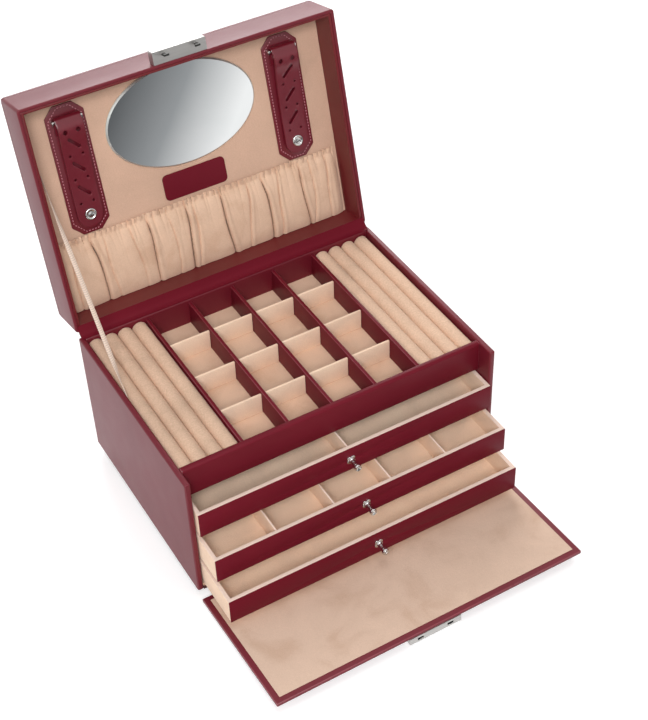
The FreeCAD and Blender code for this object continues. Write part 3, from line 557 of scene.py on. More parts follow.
class CASE_OT_tray(bpy.types.Operator):
    """Covers the tray: leather front and long walls, velour bed and cross walls"""
    bl_idname = "jewellery_case.tray"
    bl_label = "Top tray"

    def execute(self, context):
        sizes = context.scene.case_sizes
        bound("tray_front_panel", "case", "tray_leather", sizes.board_edge)
        bound("tray_dividers", "case", "tray_leather", sizes.panel_edge)
        # The cross walls take the lighter velour: painted light in the shaded cells.
        covered("tray_cross_dividers", "case", "velour", "velour_painted_light", sizes.panel_edge)
        paint("velour", "tray_lining")
        return {"FINISHED"}


def ring_roll(name, low, high, cuts):
    """One foam roll: a block with a round back and soft ends."""
    size = high - low
    back_round, end_round = 0.485 * size.x, 1.6 * MM
    roll = start("cube", name, size=1, location=(low + high) / 2, scale=size)
    with edit_mode(roll):
        pick(roll, "EDGE", lambda edge: runs(edge, 1))
        bpy.ops.mesh.subdivide(number_cuts=cuts)
        pick(roll, "EDGE", lambda edge: runs(edge, 1) and middle(edge).z > high.z - TINY)
        bpy.ops.mesh.bevel(offset=back_round, segments=9, affect="EDGES")
        for end in (low.y, high.y):
            pick(roll, "EDGE", lambda edge: all(abs(vertex.co.y - end) < TINY for vertex in edge.verts)
                 and middle(edge).z > low.z + 0.3 * size.z)
            bpy.ops.mesh.bevel(offset=end_round, segments=3, affect="EDGES")
    return roll


class CASE_OT_ring_rolls(bpy.types.Operator):
    """Makes the two sets of velour ring rolls"""
    bl_idname = "jewellery_case.ring_rolls"
    bl_label = "Ring rolls"

    def execute(self, context):
        sizes = context.scene.case_sizes
        count, gap = 4, 0.15 * MM
        dents, settled = 0.15 * MM, 0.3 * MM
        for side in SIDES:
            low, high = (Vector(corner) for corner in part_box(f"ring_rolls_{side}"))
            step = (high.x - low.x) / count
            first = ring_roll(f"roll_{side}", low, Vector((low.x + step - gap, high.y, high.z)),
                              sizes.roll_cuts)
            rolls = [first]
            for index in range(1, count):
                copy = duplicate(first, f"roll_{side}_{index}")
                copy.location.x = index * step
                bpy.ops.object.transform_apply(location=True, rotation=True, scale=True)
                rolls.append(copy)

            def handled(point, low=low, high=high):
                lift = (point.z - low.z) / (high.z - low.z)
                if lift < 0.3:
                    return point
                sway = noise.noise(point * 38) * dents
                dent = noise.noise(point * 16 + Vector((3, 5, 7))) * dents
                return point + Vector((sway * 0.4, 0, (sway + dent - settled) * lift))

            for roll in rolls:
                shape(roll, handled)
            piece = join(rolls, f"ring_rolls_{side}_velour")
            smooth(piece, 50)
            dress(piece, "case", "velour", ["rolled_velour"], f"ring_rolls_{side}")
        return {"FINISHED"}


class CASE_OT_drawers(bpy.types.Operator):
    """Lines the drawers and gives them leather fronts, with a painted highlight along their rims"""
    bl_idname = "jewellery_case.drawers"
    bl_label = "Drawers"

    def execute(self, context):
        sizes = context.scene.case_sizes
        for name in DRAWERS:
            body = f"{name}_drawer"
            self.lined(f"{body}_box", f"{body}_lined", body, "lined_board", sizes)
            covered(f"{body}_front", body, "burgundy_leather", "front_leather", 0.5 * sizes.panel_edge)
        for name in DRAWERS[:2]:
            body = f"{name}_drawer"
            self.lined(f"{body}_dividers", f"{body}_cell_walls", body, "velour", sizes)
        return {"FINISHED"}

    def lined(self, node, name, body, slot, sizes):
        """Walls under velour, with a painted highlight on the upward faces along their tops."""
        walls = turned_edges(node, name, sizes.panel_edge, 3)
        # Walls and floors take the lighter velour: painted light standing in for the light their shaded
        # insides miss.
        dress(walls, body, slot, ["velour_painted_light", "velour_rim_highlight"], node)
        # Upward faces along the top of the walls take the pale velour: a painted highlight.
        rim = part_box(node)[1][2] - 1.2 * sizes.panel_edge
        second_finish(walls, lambda face: face.center.z > rim and face.normal.z > 0.2)


class CASE_OT_knobs(bpy.types.Operator):
    """Turns the drawers' knobs: petalled washer, tapered neck and dished end"""
    bl_idname = "jewellery_case.knobs"
    bl_label = "Knobs"

    # Along the knob from its washer: share of its length and radius in millimetres.
    profile = ((0.0, 2.5), (0.14, 2.5), (0.22, 2.1), (0.45, 1.85), (0.60, 1.85), (0.70, 2.2), (0.80, 2.8),
               (0.90, 3.0), (1.0, 2.8))
    # Rings of the dished end: width of each and how far it sinks, in millimetres.
    dish = ((1.5, 0.5), (0.3, 0.9))
    washer_thickness = 1.0 * MM
    # Radius of the washer between its petals, and how much further they reach, in millimetres.
    washer_heart = 2.6
    petal_reach = 1.75
    shank_radius = 1.2 * MM

    def execute(self, context):
        for name in DRAWERS:
            body = f"{name}_drawer"
            low, high = (Vector(corner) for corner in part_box(f"{body}_knob"))
            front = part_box(f"{body}_front")[0][1]
            middle_line = Vector(((low.x + high.x) / 2, front, (low.z + high.z) / 2))
            knob = join([self.washer(middle_line), self.turning(middle_line, front - low.y),
                         self.shank(middle_line, high.y - front)], f"{body}_knob_turned")
            smooth(knob, 40)
            dress(knob, body, "chrome", ["chrome"], f"{body}_knob")
        return {"FINISHED"}

    def radius(self, share):
        for (first, start_radius), (second, end_radius) in zip(self.profile, self.profile[1:]):
            if share <= second:
                part = (share - first) / (second - first)
                return (start_radius + (end_radius - start_radius) * part) * MM
        return self.profile[-1][1] * MM

    def turning(self, foot, reach):
        body = start("cylinder", "turning", vertices=28, radius=1, depth=1)
        with edit_mode(body):
            pick(body, "EDGE", lambda edge: runs(edge, 2))
            bpy.ops.mesh.subdivide(number_cuts=28)

        def turn(point):
            share = point.z + 0.5
            wide = self.radius(share)
            return Vector((foot.x + point.x * wide, foot.y - share * reach, foot.z + point.y * wide))

        shape(body, turn)
        with edit_mode(body):
            pick(body, "FACE", lambda face: len(face.verts) > 4 and middle(face).y < foot.y - 0.9 * reach)
            for ring, sink in self.dish:
                bpy.ops.mesh.inset(thickness=ring * MM)
                bpy.ops.transform.translate(value=(0, sink * MM, 0))
        outward(body)
        return body

    def washer(self, foot):
        petals = start("cylinder", "washer", vertices=64, radius=1, depth=1)

        def lobe(point):
            angle = math.atan2(point.y, point.x)
            wide = (self.washer_heart + self.petal_reach * abs(math.sin(2 * angle)) ** 0.7) * MM
            out = foot.y - (point.z + 0.5) * self.washer_thickness
            return Vector((foot.x + point.x * wide, out, foot.z + point.y * wide))

        shape(petals, lobe)
        with edit_mode(petals):
            face = foot.y - 0.9 * self.washer_thickness
            pick(petals, "EDGE", lambda edge: past(edge, 1, face, -1))
            bpy.ops.mesh.bevel(offset=0.35 * MM, segments=2, affect="EDGES")
        outward(petals)
        return petals

    def shank(self, foot, depth):
        screw = start("cylinder", "shank", vertices=20, radius=self.shank_radius, depth=depth,
                      location=foot + Vector((0, depth / 2, 0)), rotation=(math.radians(90), 0, 0))
        with edit_mode(screw):
            pick(screw, "EDGE", lambda edge: past(edge, 1, foot.y + 0.9 * depth, 1))
            bpy.ops.mesh.bevel(offset=0.2 * MM, segments=2, affect="EDGES")
        return screw


class CASE_OT_lid_shell(bpy.types.Operator):
    """Covers the lid's frame, its liner and its velour panel"""
    bl_idname = "jewellery_case.lid_shell"
    bl_label = "Lid shell"

    def execute(self, context):
        sizes = context.scene.case_sizes
        bound("lid_frame", "lid", "leather", sizes.board_edge)
        covered("lid_liner", "lid", "burgundy_leather", "liner", sizes.panel_edge)
        paint("lid_velour", "lid_lining_panel")
        paint("board", "lid_top_board")
        paint("steel", "handle_nuts")
        covered("name_plate", "lid", "burgundy_leather", "tray_leather", 0.6 * sizes.panel_edge, 3)
        return {"FINISHED"}


class CASE_OT_hinge_cover(bpy.types.Operator):
    """Makes the leather strip that covers the lid's hinge"""
    bl_idname = "jewellery_case.hinge_cover"
    bl_label = "Hinge cover"

    # Across the strip, from the back wall's top to the lid's rim: place in Y and Z with the lid open, in
    # millimetres.
    profile = ((93.2, 129.25), (96.4, 129.35), (98.6, 130.3), (100.3, 132.2), (101.6, 134.4),
               (102.9, 136.9))

    def execute(self, context):
        width = 0.276
        rows = len(self.profile) - 1
        strip = start("grid", "hinge_leather", x_subdivisions=40, y_subdivisions=rows, size=2)

        def lay(point):
            row = round((point.y + 1) / 2 * rows)
            y, z = self.profile[row]
            return Vector((point.x * width / 2, y * MM, z * MM))

        shape(strip, lay)
        outward_facing(strip, Vector((0, -1, 1)))
        modify(strip, "SUBSURF", levels=2, render_levels=2)
        modify(strip, "SOLIDIFY", thickness=0.5 * MM, offset=1)
        smooth(strip, 50)
        strip.data.name = strip.name
        strip.data.materials.append(FINISHES["front_leather"])
        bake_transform(strip)
        return {"FINISHED"}


class CASE_OT_lid_pad(bpy.types.Operator):
    """Makes the lid's padded top, drawn in round the handle's posts"""
    bl_idname = "jewellery_case.lid_pad"
    bl_label = "Padded top"

    edge_height = 4 * MM
    corner = 2.5 * MM
    post_reach = 69 * MM
    skirt = 1.2 * MM
    # The top rolls down at its edge, sinks round each post and puckers round it.
    roll_drop, roll_width = 1.5 * MM, 1.3 * MM
    dimple_width = 12 * MM
    pucker, pucker_reach, pucker_pitch = 0.25 * MM, 22 * MM, 4.2 * MM
    # Slow waves in the padding, which die away towards the edge.
    ripple, ripple_scale, ripple_margin = 0.25 * MM, 24, 12 * MM

    def execute(self, context):
        sizes = context.scene.case_sizes
        half = (PAD_HIGH - PAD_LOW) / 2
        centre = (PAD_HIGH + PAD_LOW) / 2
        crown = PAD_HIGH.z - PAD_LOW.z - self.edge_height
        posts = [centre.x + sign * self.post_reach for sign in SIDES.values()]
        pad = start("grid", "lid_top_padded", x_subdivisions=98, y_subdivisions=70, size=1,
                    location=(centre.x, centre.y, PAD_LOW.z + self.edge_height),
                    scale=(2 * half.x, 2 * half.y, 1))

        def crowned(point):
            across = abs(point.x - centre.x) / half.x
            along = abs(point.y - centre.y) / half.y
            rise = crown * (1 - across ** 2.6) * (1 - along ** 2.4)
            edge = min(half.x - abs(point.x - centre.x), half.y - abs(point.y - centre.y))
            drop = self.roll_drop * math.exp(-edge / self.roll_width)
            for post in posts:
                reach = math.hypot(point.x - post, point.y - centre.y)
                drop += sizes.pad_dimple * math.exp(-(reach / self.dimple_width) ** 2)
                wave = math.sin(reach / self.pucker_pitch)
                drop += self.pucker * math.exp(-reach / self.pucker_reach) * wave
            wave = noise.noise(point * self.ripple_scale) * min(1, edge / self.ripple_margin)
            return rounded(Vector((point.x, point.y, point.z + rise - drop + self.ripple * wave)))

        def rounded(point):
            """Draws a point beyond a corner's arc in to it."""
            inset = [half[axis] - self.corner - abs(point[axis] - centre[axis]) for axis in (0, 1)]
            if inset[0] < 0 and inset[1] < 0:
                pull = min(1, self.corner / Vector(inset).length)
                for axis in (0, 1):
                    side = math.copysign(1, point[axis] - centre[axis])
                    reach = half[axis] - self.corner + abs(inset[axis]) * pull
                    point[axis] = centre[axis] + side * reach
            return point

        shape(pad, crowned)
        with edit_mode(pad):
            pick(pad, "EDGE", lambda edge: edge.is_boundary)
            for course in range(2):
                bpy.ops.mesh.extrude_region_move(TRANSFORM_OT_translate={"value": (0, 0, -self.skirt)})
        hem = min(vertex.co.z for vertex in pad.data.vertices) + 0.2 * MM
        with edit_mode(pad):
            pick(pad, "EDGE", lambda edge: edge.is_boundary)
            bpy.ops.mesh.edge_face_add()
        shape(pad, lambda point: Vector((point.x, point.y, PAD_LOW.z)) if point.z < hem else point)
        outward(pad)
        smooth(pad, 60)
        settle(pad, LID)
        dress(pad, "lid", "burgundy_leather", ["padded_leather"], "lid_top_pad")
        return {"FINISHED"}


HANDLE_RIM = 0.85 * MM
HANDLE_SEAM = 0.80


def handle_line():
    """Points of the handle's middle line, as (x, z) in the lid's frame, eased where arch meets tab."""
    tab_height = 55.3 * MM
    reach = 81 * MM
    foot = 57 * MM
    rise = 30 * MM
    radius = (foot ** 2 + rise ** 2) / (2 * rise)
    swing = math.asin(foot / radius)
    flat_steps, arch_steps, easings = 24, 130, 45
    points = []
    for step in range(flat_steps):
        points.append(Vector((-reach + (reach - foot) * step / flat_steps, tab_height)))
    for step in range(arch_steps + 1):
        angle = -swing + 2 * swing * step / arch_steps
        height = tab_height + rise - radius * (1 - math.cos(angle))
        points.append(Vector((radius * math.sin(angle), height)))
    for step in range(1, flat_steps + 1):
        points.append(Vector((foot + (reach - foot) * step / flat_steps, tab_height)))
    for easing in range(easings):
        points = [points[0]] + [(points[i - 1] + 2 * points[i] + points[i + 1]) / 4
                                for i in range(1, len(points) - 1)] + [points[-1]]
    return points


def handle_section(travel):
    """Half width and half thickness of the handle at a place from -1, one tip, to 1, the other."""
    tab_thickness, swell = 1.7 * MM, 2.3 * MM
    waist, bulge = 9.2 * MM, 0.8 * MM
    tip_start = 0.955
    away = abs(travel)
    thick = tab_thickness + swell * max(0.0, 1 - (away / 0.80) ** 6)
    wide = waist + bulge * math.cos(math.pi * away)
    tip = max(0.0, (away - tip_start) / (1 - tip_start))
    wide *= math.sqrt(max(0.0, 1 - 0.75 * tip ** 3))
    return wide, thick


def handle_lens(thick, side):
    """Half thickness of the padded leather at a share of its half width."""
    return HANDLE_RIM + (thick - HANDLE_RIM) * (1 - abs(side) ** 2.2) ** 0.9


class CASE_OT_handle(bpy.types.Operator):
    """Makes the padded handle with its seams and flat ends, and its posts"""
    bl_idname = "jewellery_case.handle"
    bl_label = "Handle"

    def execute(self, context):
        sizes = context.scene.case_sizes
        across = (PAD_LOW.y + PAD_HIGH.y) / 2
        line = handle_line()
        lengths = [0.0]
        for first, second in zip(line, line[1:]):
            lengths.append(lengths[-1] + (second - first).length)

        def at(share):
            """Point and direction of the middle line at a share of its length."""
            wanted = min(max(share, 0), 1) * lengths[-1]
            index = next((i for i in range(1, len(lengths)) if lengths[i] >= wanted), len(line) - 1)
            span = lengths[index] - lengths[index - 1]
            part = (wanted - lengths[index - 1]) / span
            point = line[index - 1].lerp(line[index], part)
            before = line[max(0, index - 3)]
            after = line[min(len(line) - 1, index + 2)]
            return point, (after - before).normalized()

        strap = start("cylinder", "handle_padded", vertices=44, radius=1, depth=1, end_fill_type="NGON")
        with edit_mode(strap):
            pick(strap, "EDGE", lambda edge: runs(edge, 2))
            bpy.ops.mesh.subdivide(number_cuts=110)

        def section(point):
            share = point.z + 0.5
            place, way = at(share)
            wide, thick = handle_section(2 * share - 1)
            angle = math.atan2(point.y, point.x)
            side = math.copysign(abs(math.cos(angle)) ** 0.8, math.cos(angle))
            groove = 0.28 * MM * math.exp(-((abs(side) - HANDLE_SEAM) / 0.05) ** 2)
            height = (handle_lens(thick, side) - groove) * min(1, 3.2 * abs(math.sin(angle)))
            height *= 1 if math.sin(angle) > 0 else -0.75
            normal = Vector((-way.y, way.x))
            spot = place + normal * height
            return Vector((spot.x, across + wide * side, spot.y))

        shape(strap, section)
        outward(strap)
        smooth(strap, 60)
        settle(strap, LID)
        dress(strap, "lid", "burgundy_leather", ["padded_leather"], "handle_strap")
        seams = []
        steps = 96
        for side, sign in SIDES.items():
            track = []
            for step in range(steps + 1):
                share = 0.05 + 0.90 * step / steps
                place, way = at(share)
                wide, thick = handle_section(2 * share - 1)
                lift = handle_lens(thick, HANDLE_SEAM) - 0.15 * MM
                spot = place + Vector((-way.y, way.x)) * lift
                track.append(Vector((spot.x, across + sign * HANDLE_SEAM * wide, spot.y)))
            seams.append(stitches(f"handle_seam_{side}", track, False, sizes))
        seam = join(seams, "handle_seams")
        settle(seam, LID)
        dress(seam, "lid", "burgundy_leather", ["thread"])
        covered("handle_posts", "lid", "chrome", "chrome", sizes.metal_edge, 3)
        return {"FINISHED"}


def stitches(name, track, closed, sizes):
    """A row of stitches along a track of points, laid on with an array and a curve."""
    data = bpy.data.curves.new(f"{name}_track", "CURVE")
    data.dimensions = "3D"
    data.twist_mode = "Z_UP"
    spline = data.splines.new("POLY")
    spline.points.add(len(track) - 1)
    for point, where in zip(spline.points, track):
        point.co = (*where, 1)
    spline.use_cyclic_u = closed
    path = bpy.data.objects.new(f"{name}_track", data)
    bpy.context.scene.collection.objects.link(path)
    ends = track + [track[0]] if closed else track
    total = sum((second - first).length for first, second in zip(ends, ends[1:]))
    count = max(2, int(total / sizes.stitch_pitch))
    pitch = total / count
    row = start("uv_sphere", name, segments=8, ring_count=6, radius=0.5,
                location=(0.5 * pitch, 0, 0),
                scale=(sizes.stitch_length, sizes.stitch_width, 0.7 * sizes.stitch_width))
    modify(row, "ARRAY", count=count, use_relative_offset=False, use_constant_offset=True,
           constant_offset_displace=(pitch, 0, 0))
    modify(row, "CURVE", object=path, deform_axis="POS_X")
    bpy.data.objects.remove(path)
    smooth(row, 80)
    return row


class CASE_OT_mirror(bpy.types.Operator):
    """Makes the oval mirror with its ground bevel"""
    bl_idname = "jewellery_case.mirror"
    bl_label = "Oval mirror"

    def execute(self, context):
        ground_edge = 1.3 * MM
        low, high = box_in("oval_mirror", LID)
        centre = (low + high) / 2
        size = high - low
        glass = start("cylinder", "oval_mirror_glass", vertices=160, radius=0.5, depth=1, location=centre,
                      scale=size)
        with edit_mode(glass):
            pick(glass, "EDGE", lambda edge: past(edge, 2, low.z + TINY, -1))
            bpy.ops.mesh.bevel(offset=ground_edge, segments=1, affect="EDGES")
        outward(glass)
        smooth(glass, 12)
        dress(glass, "lid", "mirror_glass", ["mirror", "glass_edge"], "oval_mirror")
        second_finish(glass, lambda face: face.normal.z > -0.9)
        settle_parented(glass, LID)
        return {"FINISHED"}


def settle_parented(obj, place):
    """Moves a dressed piece's mesh from a panel's own frame into the case's."""
    obj.data.transform(place)
    obj.data.update()


STRAP_ROWS = 7
STRAP_TURN_STEPS = 12
STRAP_RUN_STEPS = 40


def strap_line(bar, end, patch_face):
    """The strap's middle line as (y, z): under its bar, round it, over a hump and down to the stud."""
    turn = 3.0 * MM
    tucked = patch_face - 1.15 * MM
    flat = patch_face - 3.4 * MM
    hump, hump_place, hump_width = 2.4 * MM, 7 * MM, 10 * MM
    points = [Vector((bar[0] + under, tucked)) for under in (12 * MM, 6 * MM)]
    for step in range(STRAP_TURN_STEPS + 1):
        angle = math.pi * step / STRAP_TURN_STEPS
        points.append(Vector((bar[0] - turn * math.sin(angle), bar[1] + turn * math.cos(angle))))
    over = bar[1] - turn
    for step in range(1, STRAP_RUN_STEPS + 1):
        share = step / STRAP_RUN_STEPS
        along = bar[0] + (end - bar[0]) * share
        rise = hump * math.exp(-((along - bar[0] - hump_place) / hump_width) ** 2)
        ease = eased(min(1, max(0, share - 0.08) / 0.62))
        points.append(Vector((along, over + (flat - over) * ease - rise)))
    return points


class CASE_OT_straps(bpy.types.Operator):
    """Makes the earring straps with their holes, patches, seams, bars and studs"""
    bl_idname = "jewellery_case.straps"
    bl_label = "Earring straps"

    thickness = 1.9 * MM
    # Rows of holes and slots, from the bar: place of the first and pitch, in millimetres.
    first_row, row_pitch = 8.6, 10.6
    punch_height, punch_level = 12 * MM, 8.3 * MM
    slot_length, slot_width, slot_round, slot_lean = 13.5 * MM, 2.7 * MM, 1.25 * MM, 46
    hole_radius, first_hole_radius, hole_reach = 1.1 * MM, 2.0 * MM, 5.5 * MM
    # Rings of a stud's cap: width of each and how far it then stands out, in millimetres.
    rings = ((0.5, 0), (0.25, -0.5), (1.1, 0.45))

    def execute(self, context):
        sizes = context.scene.case_sizes
        self.bars(sizes)
        paint("chrome", "stud_sockets")
        for side, sign in SIDES.items():
            self.patch(side, sizes)
            self.strap(side, sign)
            self.stud(side, sizes)
        return {"FINISHED"}

    def bars(self, sizes):
        """Wire loops for the straps, each held between two flat cheeks."""
        low, high = box_in("strap_bars", LID)
        along = (low.y + high.y) / 2
        level = (low.z + high.z) / 2
        cheek_gap = 1.3 * MM
        pieces = [turned_edges("strap_bars", "strap_bar_loops", 0.5 * sizes.metal_edge)]
        for side in SIDES:
            strap = box_in(f"strap_{side}", LID)
            for end in (strap[0].x - cheek_gap, strap[1].x + cheek_gap):
                cheek = start("cube", "cheek", size=1, location=(end, along + 0.6 * MM, level),
                              scale=(1.1 * MM, 4.4 * MM, high.z - low.z))
                with edit_mode(cheek):
                    pick(cheek, "EDGE", lambda edge: runs(edge, 0) and middle(edge).z < level)
                    bpy.ops.mesh.bevel(offset=1.2 * MM, segments=3, affect="EDGES")
                settle(cheek, LID)
                pieces.append(cheek)
        loops = join(pieces, "strap_bar_loops")
        smooth(loops)
        dress(loops, "lid", "chrome", ["chrome"], "strap_bars")

    def patch(self, side, sizes):
        node = f"strap_patch_{side}"
        covered(node, "lid", "burgundy_leather", "padded_leather", 0.6 * sizes.board_edge, 3)
        low, high = box_in(node, LID)
        inset = sizes.stitch_inset
        cut = 8.5 * MM + 0.4 * inset
        left, right = low.x + inset, high.x - inset
        front, back = low.y + inset, high.y - inset
        corners = [(left + cut, front), (right - cut, front), (right, front + cut), (right, back - cut),
                   (right - cut, back), (left + cut, back), (left, back - cut), (left, front + cut)]
        corners = [Vector((x, y, low.z - 0.05 * MM)) for x, y in corners]
        steps = 12
        track = []
        for first, second in zip(corners, corners[1:] + corners[:1]):
            track += [first.lerp(second, step / steps) for step in range(steps)]
        seam = stitches(f"patch_seam_{side}", track, True, sizes)
        settle(seam, LID)
        dress(seam, "lid", "burgundy_leather", ["thread"])

    def strap(self, side, sign):
        low, high = box_in(f"strap_{side}", LID)
        patch_face = box_in(f"strap_patch_{side}", LID)[0].z
        centre = (low.x + high.x) / 2
        wide = (high.x - low.x) / 2
        bars = box_in("strap_bars", LID)
        bar = ((bars[0].y + bars[1].y) / 2, bars[0].z + 1.1 * MM)
        end = high.y - 0.4 * MM
        line = strap_line(bar, end, patch_face)
        rows = len(line) - 1
        leather_strip = start("grid", f"strap_{side}_leather", x_subdivisions=12, y_subdivisions=rows,
                              size=2)

        def lay(point):
            place = (point.y + 1) / 2 * rows
            index = min(int(place + TINY), rows - 1)
            spot = line[index].lerp(line[index + 1], place - index)
            left_over = end - spot.x
            past_bar = place > len(line) - STRAP_RUN_STEPS
            half = wide
            if past_bar and left_over < wide:
                half = math.sqrt(max(0.02 * wide * wide, wide * wide - (wide - left_over) ** 2))
            return Vector((centre + point.x * half, spot.x, spot.y))

        shape(leather_strip, lay)
        outward(leather_strip)
        modify(leather_strip, "SOLIDIFY", thickness=self.thickness, offset=0)
        cutters = self.cutters(side, sign, bar, centre, patch_face)
        modify(leather_strip, "BOOLEAN", object=cutters, operation="DIFFERENCE", solver="EXACT")
        bpy.data.objects.remove(cutters)
        modify(leather_strip, "BEVEL", width=0.35 * MM, segments=2, limit_method="ANGLE",
               angle_limit=math.radians(50), use_clamp_overlap=True)
        smooth(leather_strip, 45)
        settle(leather_strip, LID)
        dress(leather_strip, f"strap_{side}", "burgundy_leather", ["strap_leather"], f"strap_{side}")

    def cutters(self, side, sign, bar, centre, patch_face):
        """Punches for the pairs of holes and the leaning slots."""
        punches = []
        level = patch_face - self.punch_level
        for row in range(STRAP_ROWS):
            along = bar[0] + (self.first_row + self.row_pitch * row) * MM
            if row % 2:
                slot = start("cube", f"slot_{side}_{row}", size=1,
                             scale=(self.slot_length, self.slot_width, self.punch_height))
                with edit_mode(slot):
                    pick(slot, "EDGE", lambda edge: runs(edge, 2))
                    bpy.ops.mesh.bevel(offset=self.slot_round, segments=4, affect="EDGES")
                slot.location = (centre, along, level)
                slot.rotation_euler.z = math.radians(-sign * self.slot_lean)
                punches.append(slot)
                continue
            radius = self.hole_radius if row else self.first_hole_radius
            for reach in (-self.hole_reach, self.hole_reach):
                punches.append(start("cylinder", f"hole_{side}_{row}", vertices=20, radius=radius,
                                     depth=self.punch_height, location=(centre + reach, along, level)))
        return join(punches, f"punches_{side}")

    def stud(self, side, sizes):
        cap = turned_edges(f"stud_cap_{side}", f"stud_{side}_polished", sizes.metal_edge)
        facing = LID.to_3x3() @ Vector((0, 0, -1))
        with edit_mode(cap):
            bpy.ops.mesh.select_mode(type="FACE")
            mesh = bmesh.from_edit_mesh(cap.data)
            best = max(mesh.faces, key=lambda face: face.calc_area() * (face.normal.dot(facing) > 0.95))
            bpy.ops.mesh.select_all(action="DESELECT")
            best.select_set(True)
            bmesh.update_edit_mesh(cap.data)
            for width, lift in self.rings:
                bpy.ops.mesh.inset(thickness=width * MM)
                bpy.ops.transform.translate(value=lift * MM * facing)
        smooth(cap, 35)
        dress(cap, f"strap_{side}", "chrome", ["chrome"], f"stud_cap_{side}")


class CASE_OT_pocket(bpy.types.Operator):
    """Makes the gathered pocket along the foot of the lid"""
    bl_idname = "jewellery_case.pocket"
    bl_label = "Gathered pocket"

    # Each crease: where it leaves the mouth, where it ends at the foot, its depth and its width, in
    # millimetres.
    creases = (
        (-121, -122, 2.6, 1.3), (-103, -96, 5.0, 1.6), (-91, -88, 1.6, 1.2), (-67, -63, 1.8, 1.3),
        (-51, -49, 5.0, 1.6), (-32, -30, 1.6, 1.2), (-15, -16, 5.0, 1.6), (-8, -10, 1.8, 1.2),
        (18, 22, 5.2, 1.7), (44, 39, 2.8, 1.3), (58, 62, 5.0, 1.6), (75, 69, 2.6, 1.3),
        (95, 97, 4.2, 1.5), (106, 103, 1.8, 1.2), (121, 120, 2.0, 1.2),
    )
    # How deep a face lies in a crease, in millimetres, before it takes the darker finishes of painted
    # shade.
    fold_depth, crease_depth = 2.4, 3.9
    # The mouth's share of the height, and how far it stands off the lid.
    mouth, mouth_lift = 0.08, 2.2 * MM
    # How far the cloth may stand off the lid, and the width over which it draws in to its sewn sides.
    least, most = 0.5 * MM, 8.3 * MM
    sewn_margin = 6 * MM

    def execute(self, context):
        sizes = context.scene.case_sizes
        low, high = POCKET_LOW, POCKET_HIGH
        half = (high.x - low.x) / 2
        chance = random.Random(7)
        gather = []
        step = 2 * half / sizes.gathers
        for index in range(sizes.gathers):
            where = -half + (index + 0.5 + chance.uniform(-0.35, 0.35)) * step
            tall = chance.uniform(0.6, 1.3)
            wide = chance.uniform(0.8, 1.5) * MM
            gather.append((where, tall, wide, chance.uniform(0.10, 0.32)))
        folds = []
        for crease in self.creases:
            phase = chance.uniform(0, 6.3)
            life = chance.uniform(0.5, 1.0)
            folds.append((*(size * MM for size in crease), phase, life))
        shaded_depths = []
        cloth = start("grid", "pocket_gathered", x_subdivisions=560, y_subdivisions=80, size=1,
                      location=((low.x + high.x) / 2, (low.y + high.y) / 2, 0),
                      scale=(high.x - low.x, high.y - low.y, 1))

        def hang(point):
            down = (point.y - low.y) / (high.y - low.y)
            open_share = max(0.0, down - self.mouth) / (1 - self.mouth)
            foot_share = max(0.0, open_share - 0.55) / 0.5
            belly = (1 - math.exp(-open_share * 6)) * max(0.0, 1 - foot_share ** 4)
            out = self.mouth_lift + (sizes.pocket_depth - self.mouth_lift) * belly
            x = point.x
            pull = 0.0
            shaded_depth = 0.0
            for top, foot, deep, wide, phase, life in folds:
                wander = 1.3 * MM * math.sin(4.5 * down + phase) * min(1, 3 * down)
                away = x - (top + (foot - top) * down + wander)
                spread = wide * (0.8 + 0.4 * down)
                fade = (1 - (1 - life) * down ** 2) * min(1, 0.4 + 4 * open_share)
                notch = deep * fade * math.exp(-abs(away) / spread)
                out -= notch
                shaded_depth = max(shaded_depth, notch)
                lap = (away - 1.8 * spread) / (1.2 * spread)
                out += 0.38 * deep * fade * math.exp(-lap * lap)
                pull += 0.7 * away * math.exp(-abs(away) / (1.6 * spread)) * min(1, 0.3 + fade)
                lean = (away - 1.3 * spread) / (0.8 * spread)
                pull += 0.12 * deep * fade * math.exp(-lean * lean)
            for where, tall, wide, life in gather:
                away = abs(x - where - 1.2 * MM * math.sin(5 * down + 40 * where / MM)) / wide
                tuck = 1.5 * MM * tall * math.exp(-away) * math.exp(-open_share / life)
                out -= tuck
                # The deepest tucks just under the mouth count as deep creases, so they take painted shade
                # as dark dots.
                if tuck > 1.15 * MM and down < 0.12:
                    shaded_depth = max(shaded_depth, 2 * tuck)
            out += 0.7 * MM * noise.noise(Vector((x * 30, down * 2.0, 1.7))) * min(1, 4 * open_share)
            out += 0.3 * MM * noise.noise(Vector((x * 95, down * 4.5, 4.1)))
            if down < self.mouth:
                ruffle = math.sin(x / (0.75 * MM) + 2.6 * noise.noise(Vector((x * 60, 0, 9))))
                out += (1.3 * MM * ruffle + 0.9 * MM) * (1 - down / self.mouth)
            edge = min(1.0, max(0.0, half - abs(x)) / self.sewn_margin)
            out *= 0.25 + 0.75 * edge ** 0.5
            out = min(max(out, self.least), self.most)
            sway = 0.3 * MM * noise.noise(Vector((x * 40, down * 3, 6.3)))
            dip = 1.0 * MM * noise.noise(Vector((x * 45, 2.5, 0.3))) * (1 - down)
            shaded_depths.append(shaded_depth / MM)
            return Vector((x - pull * edge, point.y + sway + dip, PANEL_FACE - out))

        shape(cloth, hang)
        outward_facing(cloth, Vector((0, 0, -1)))
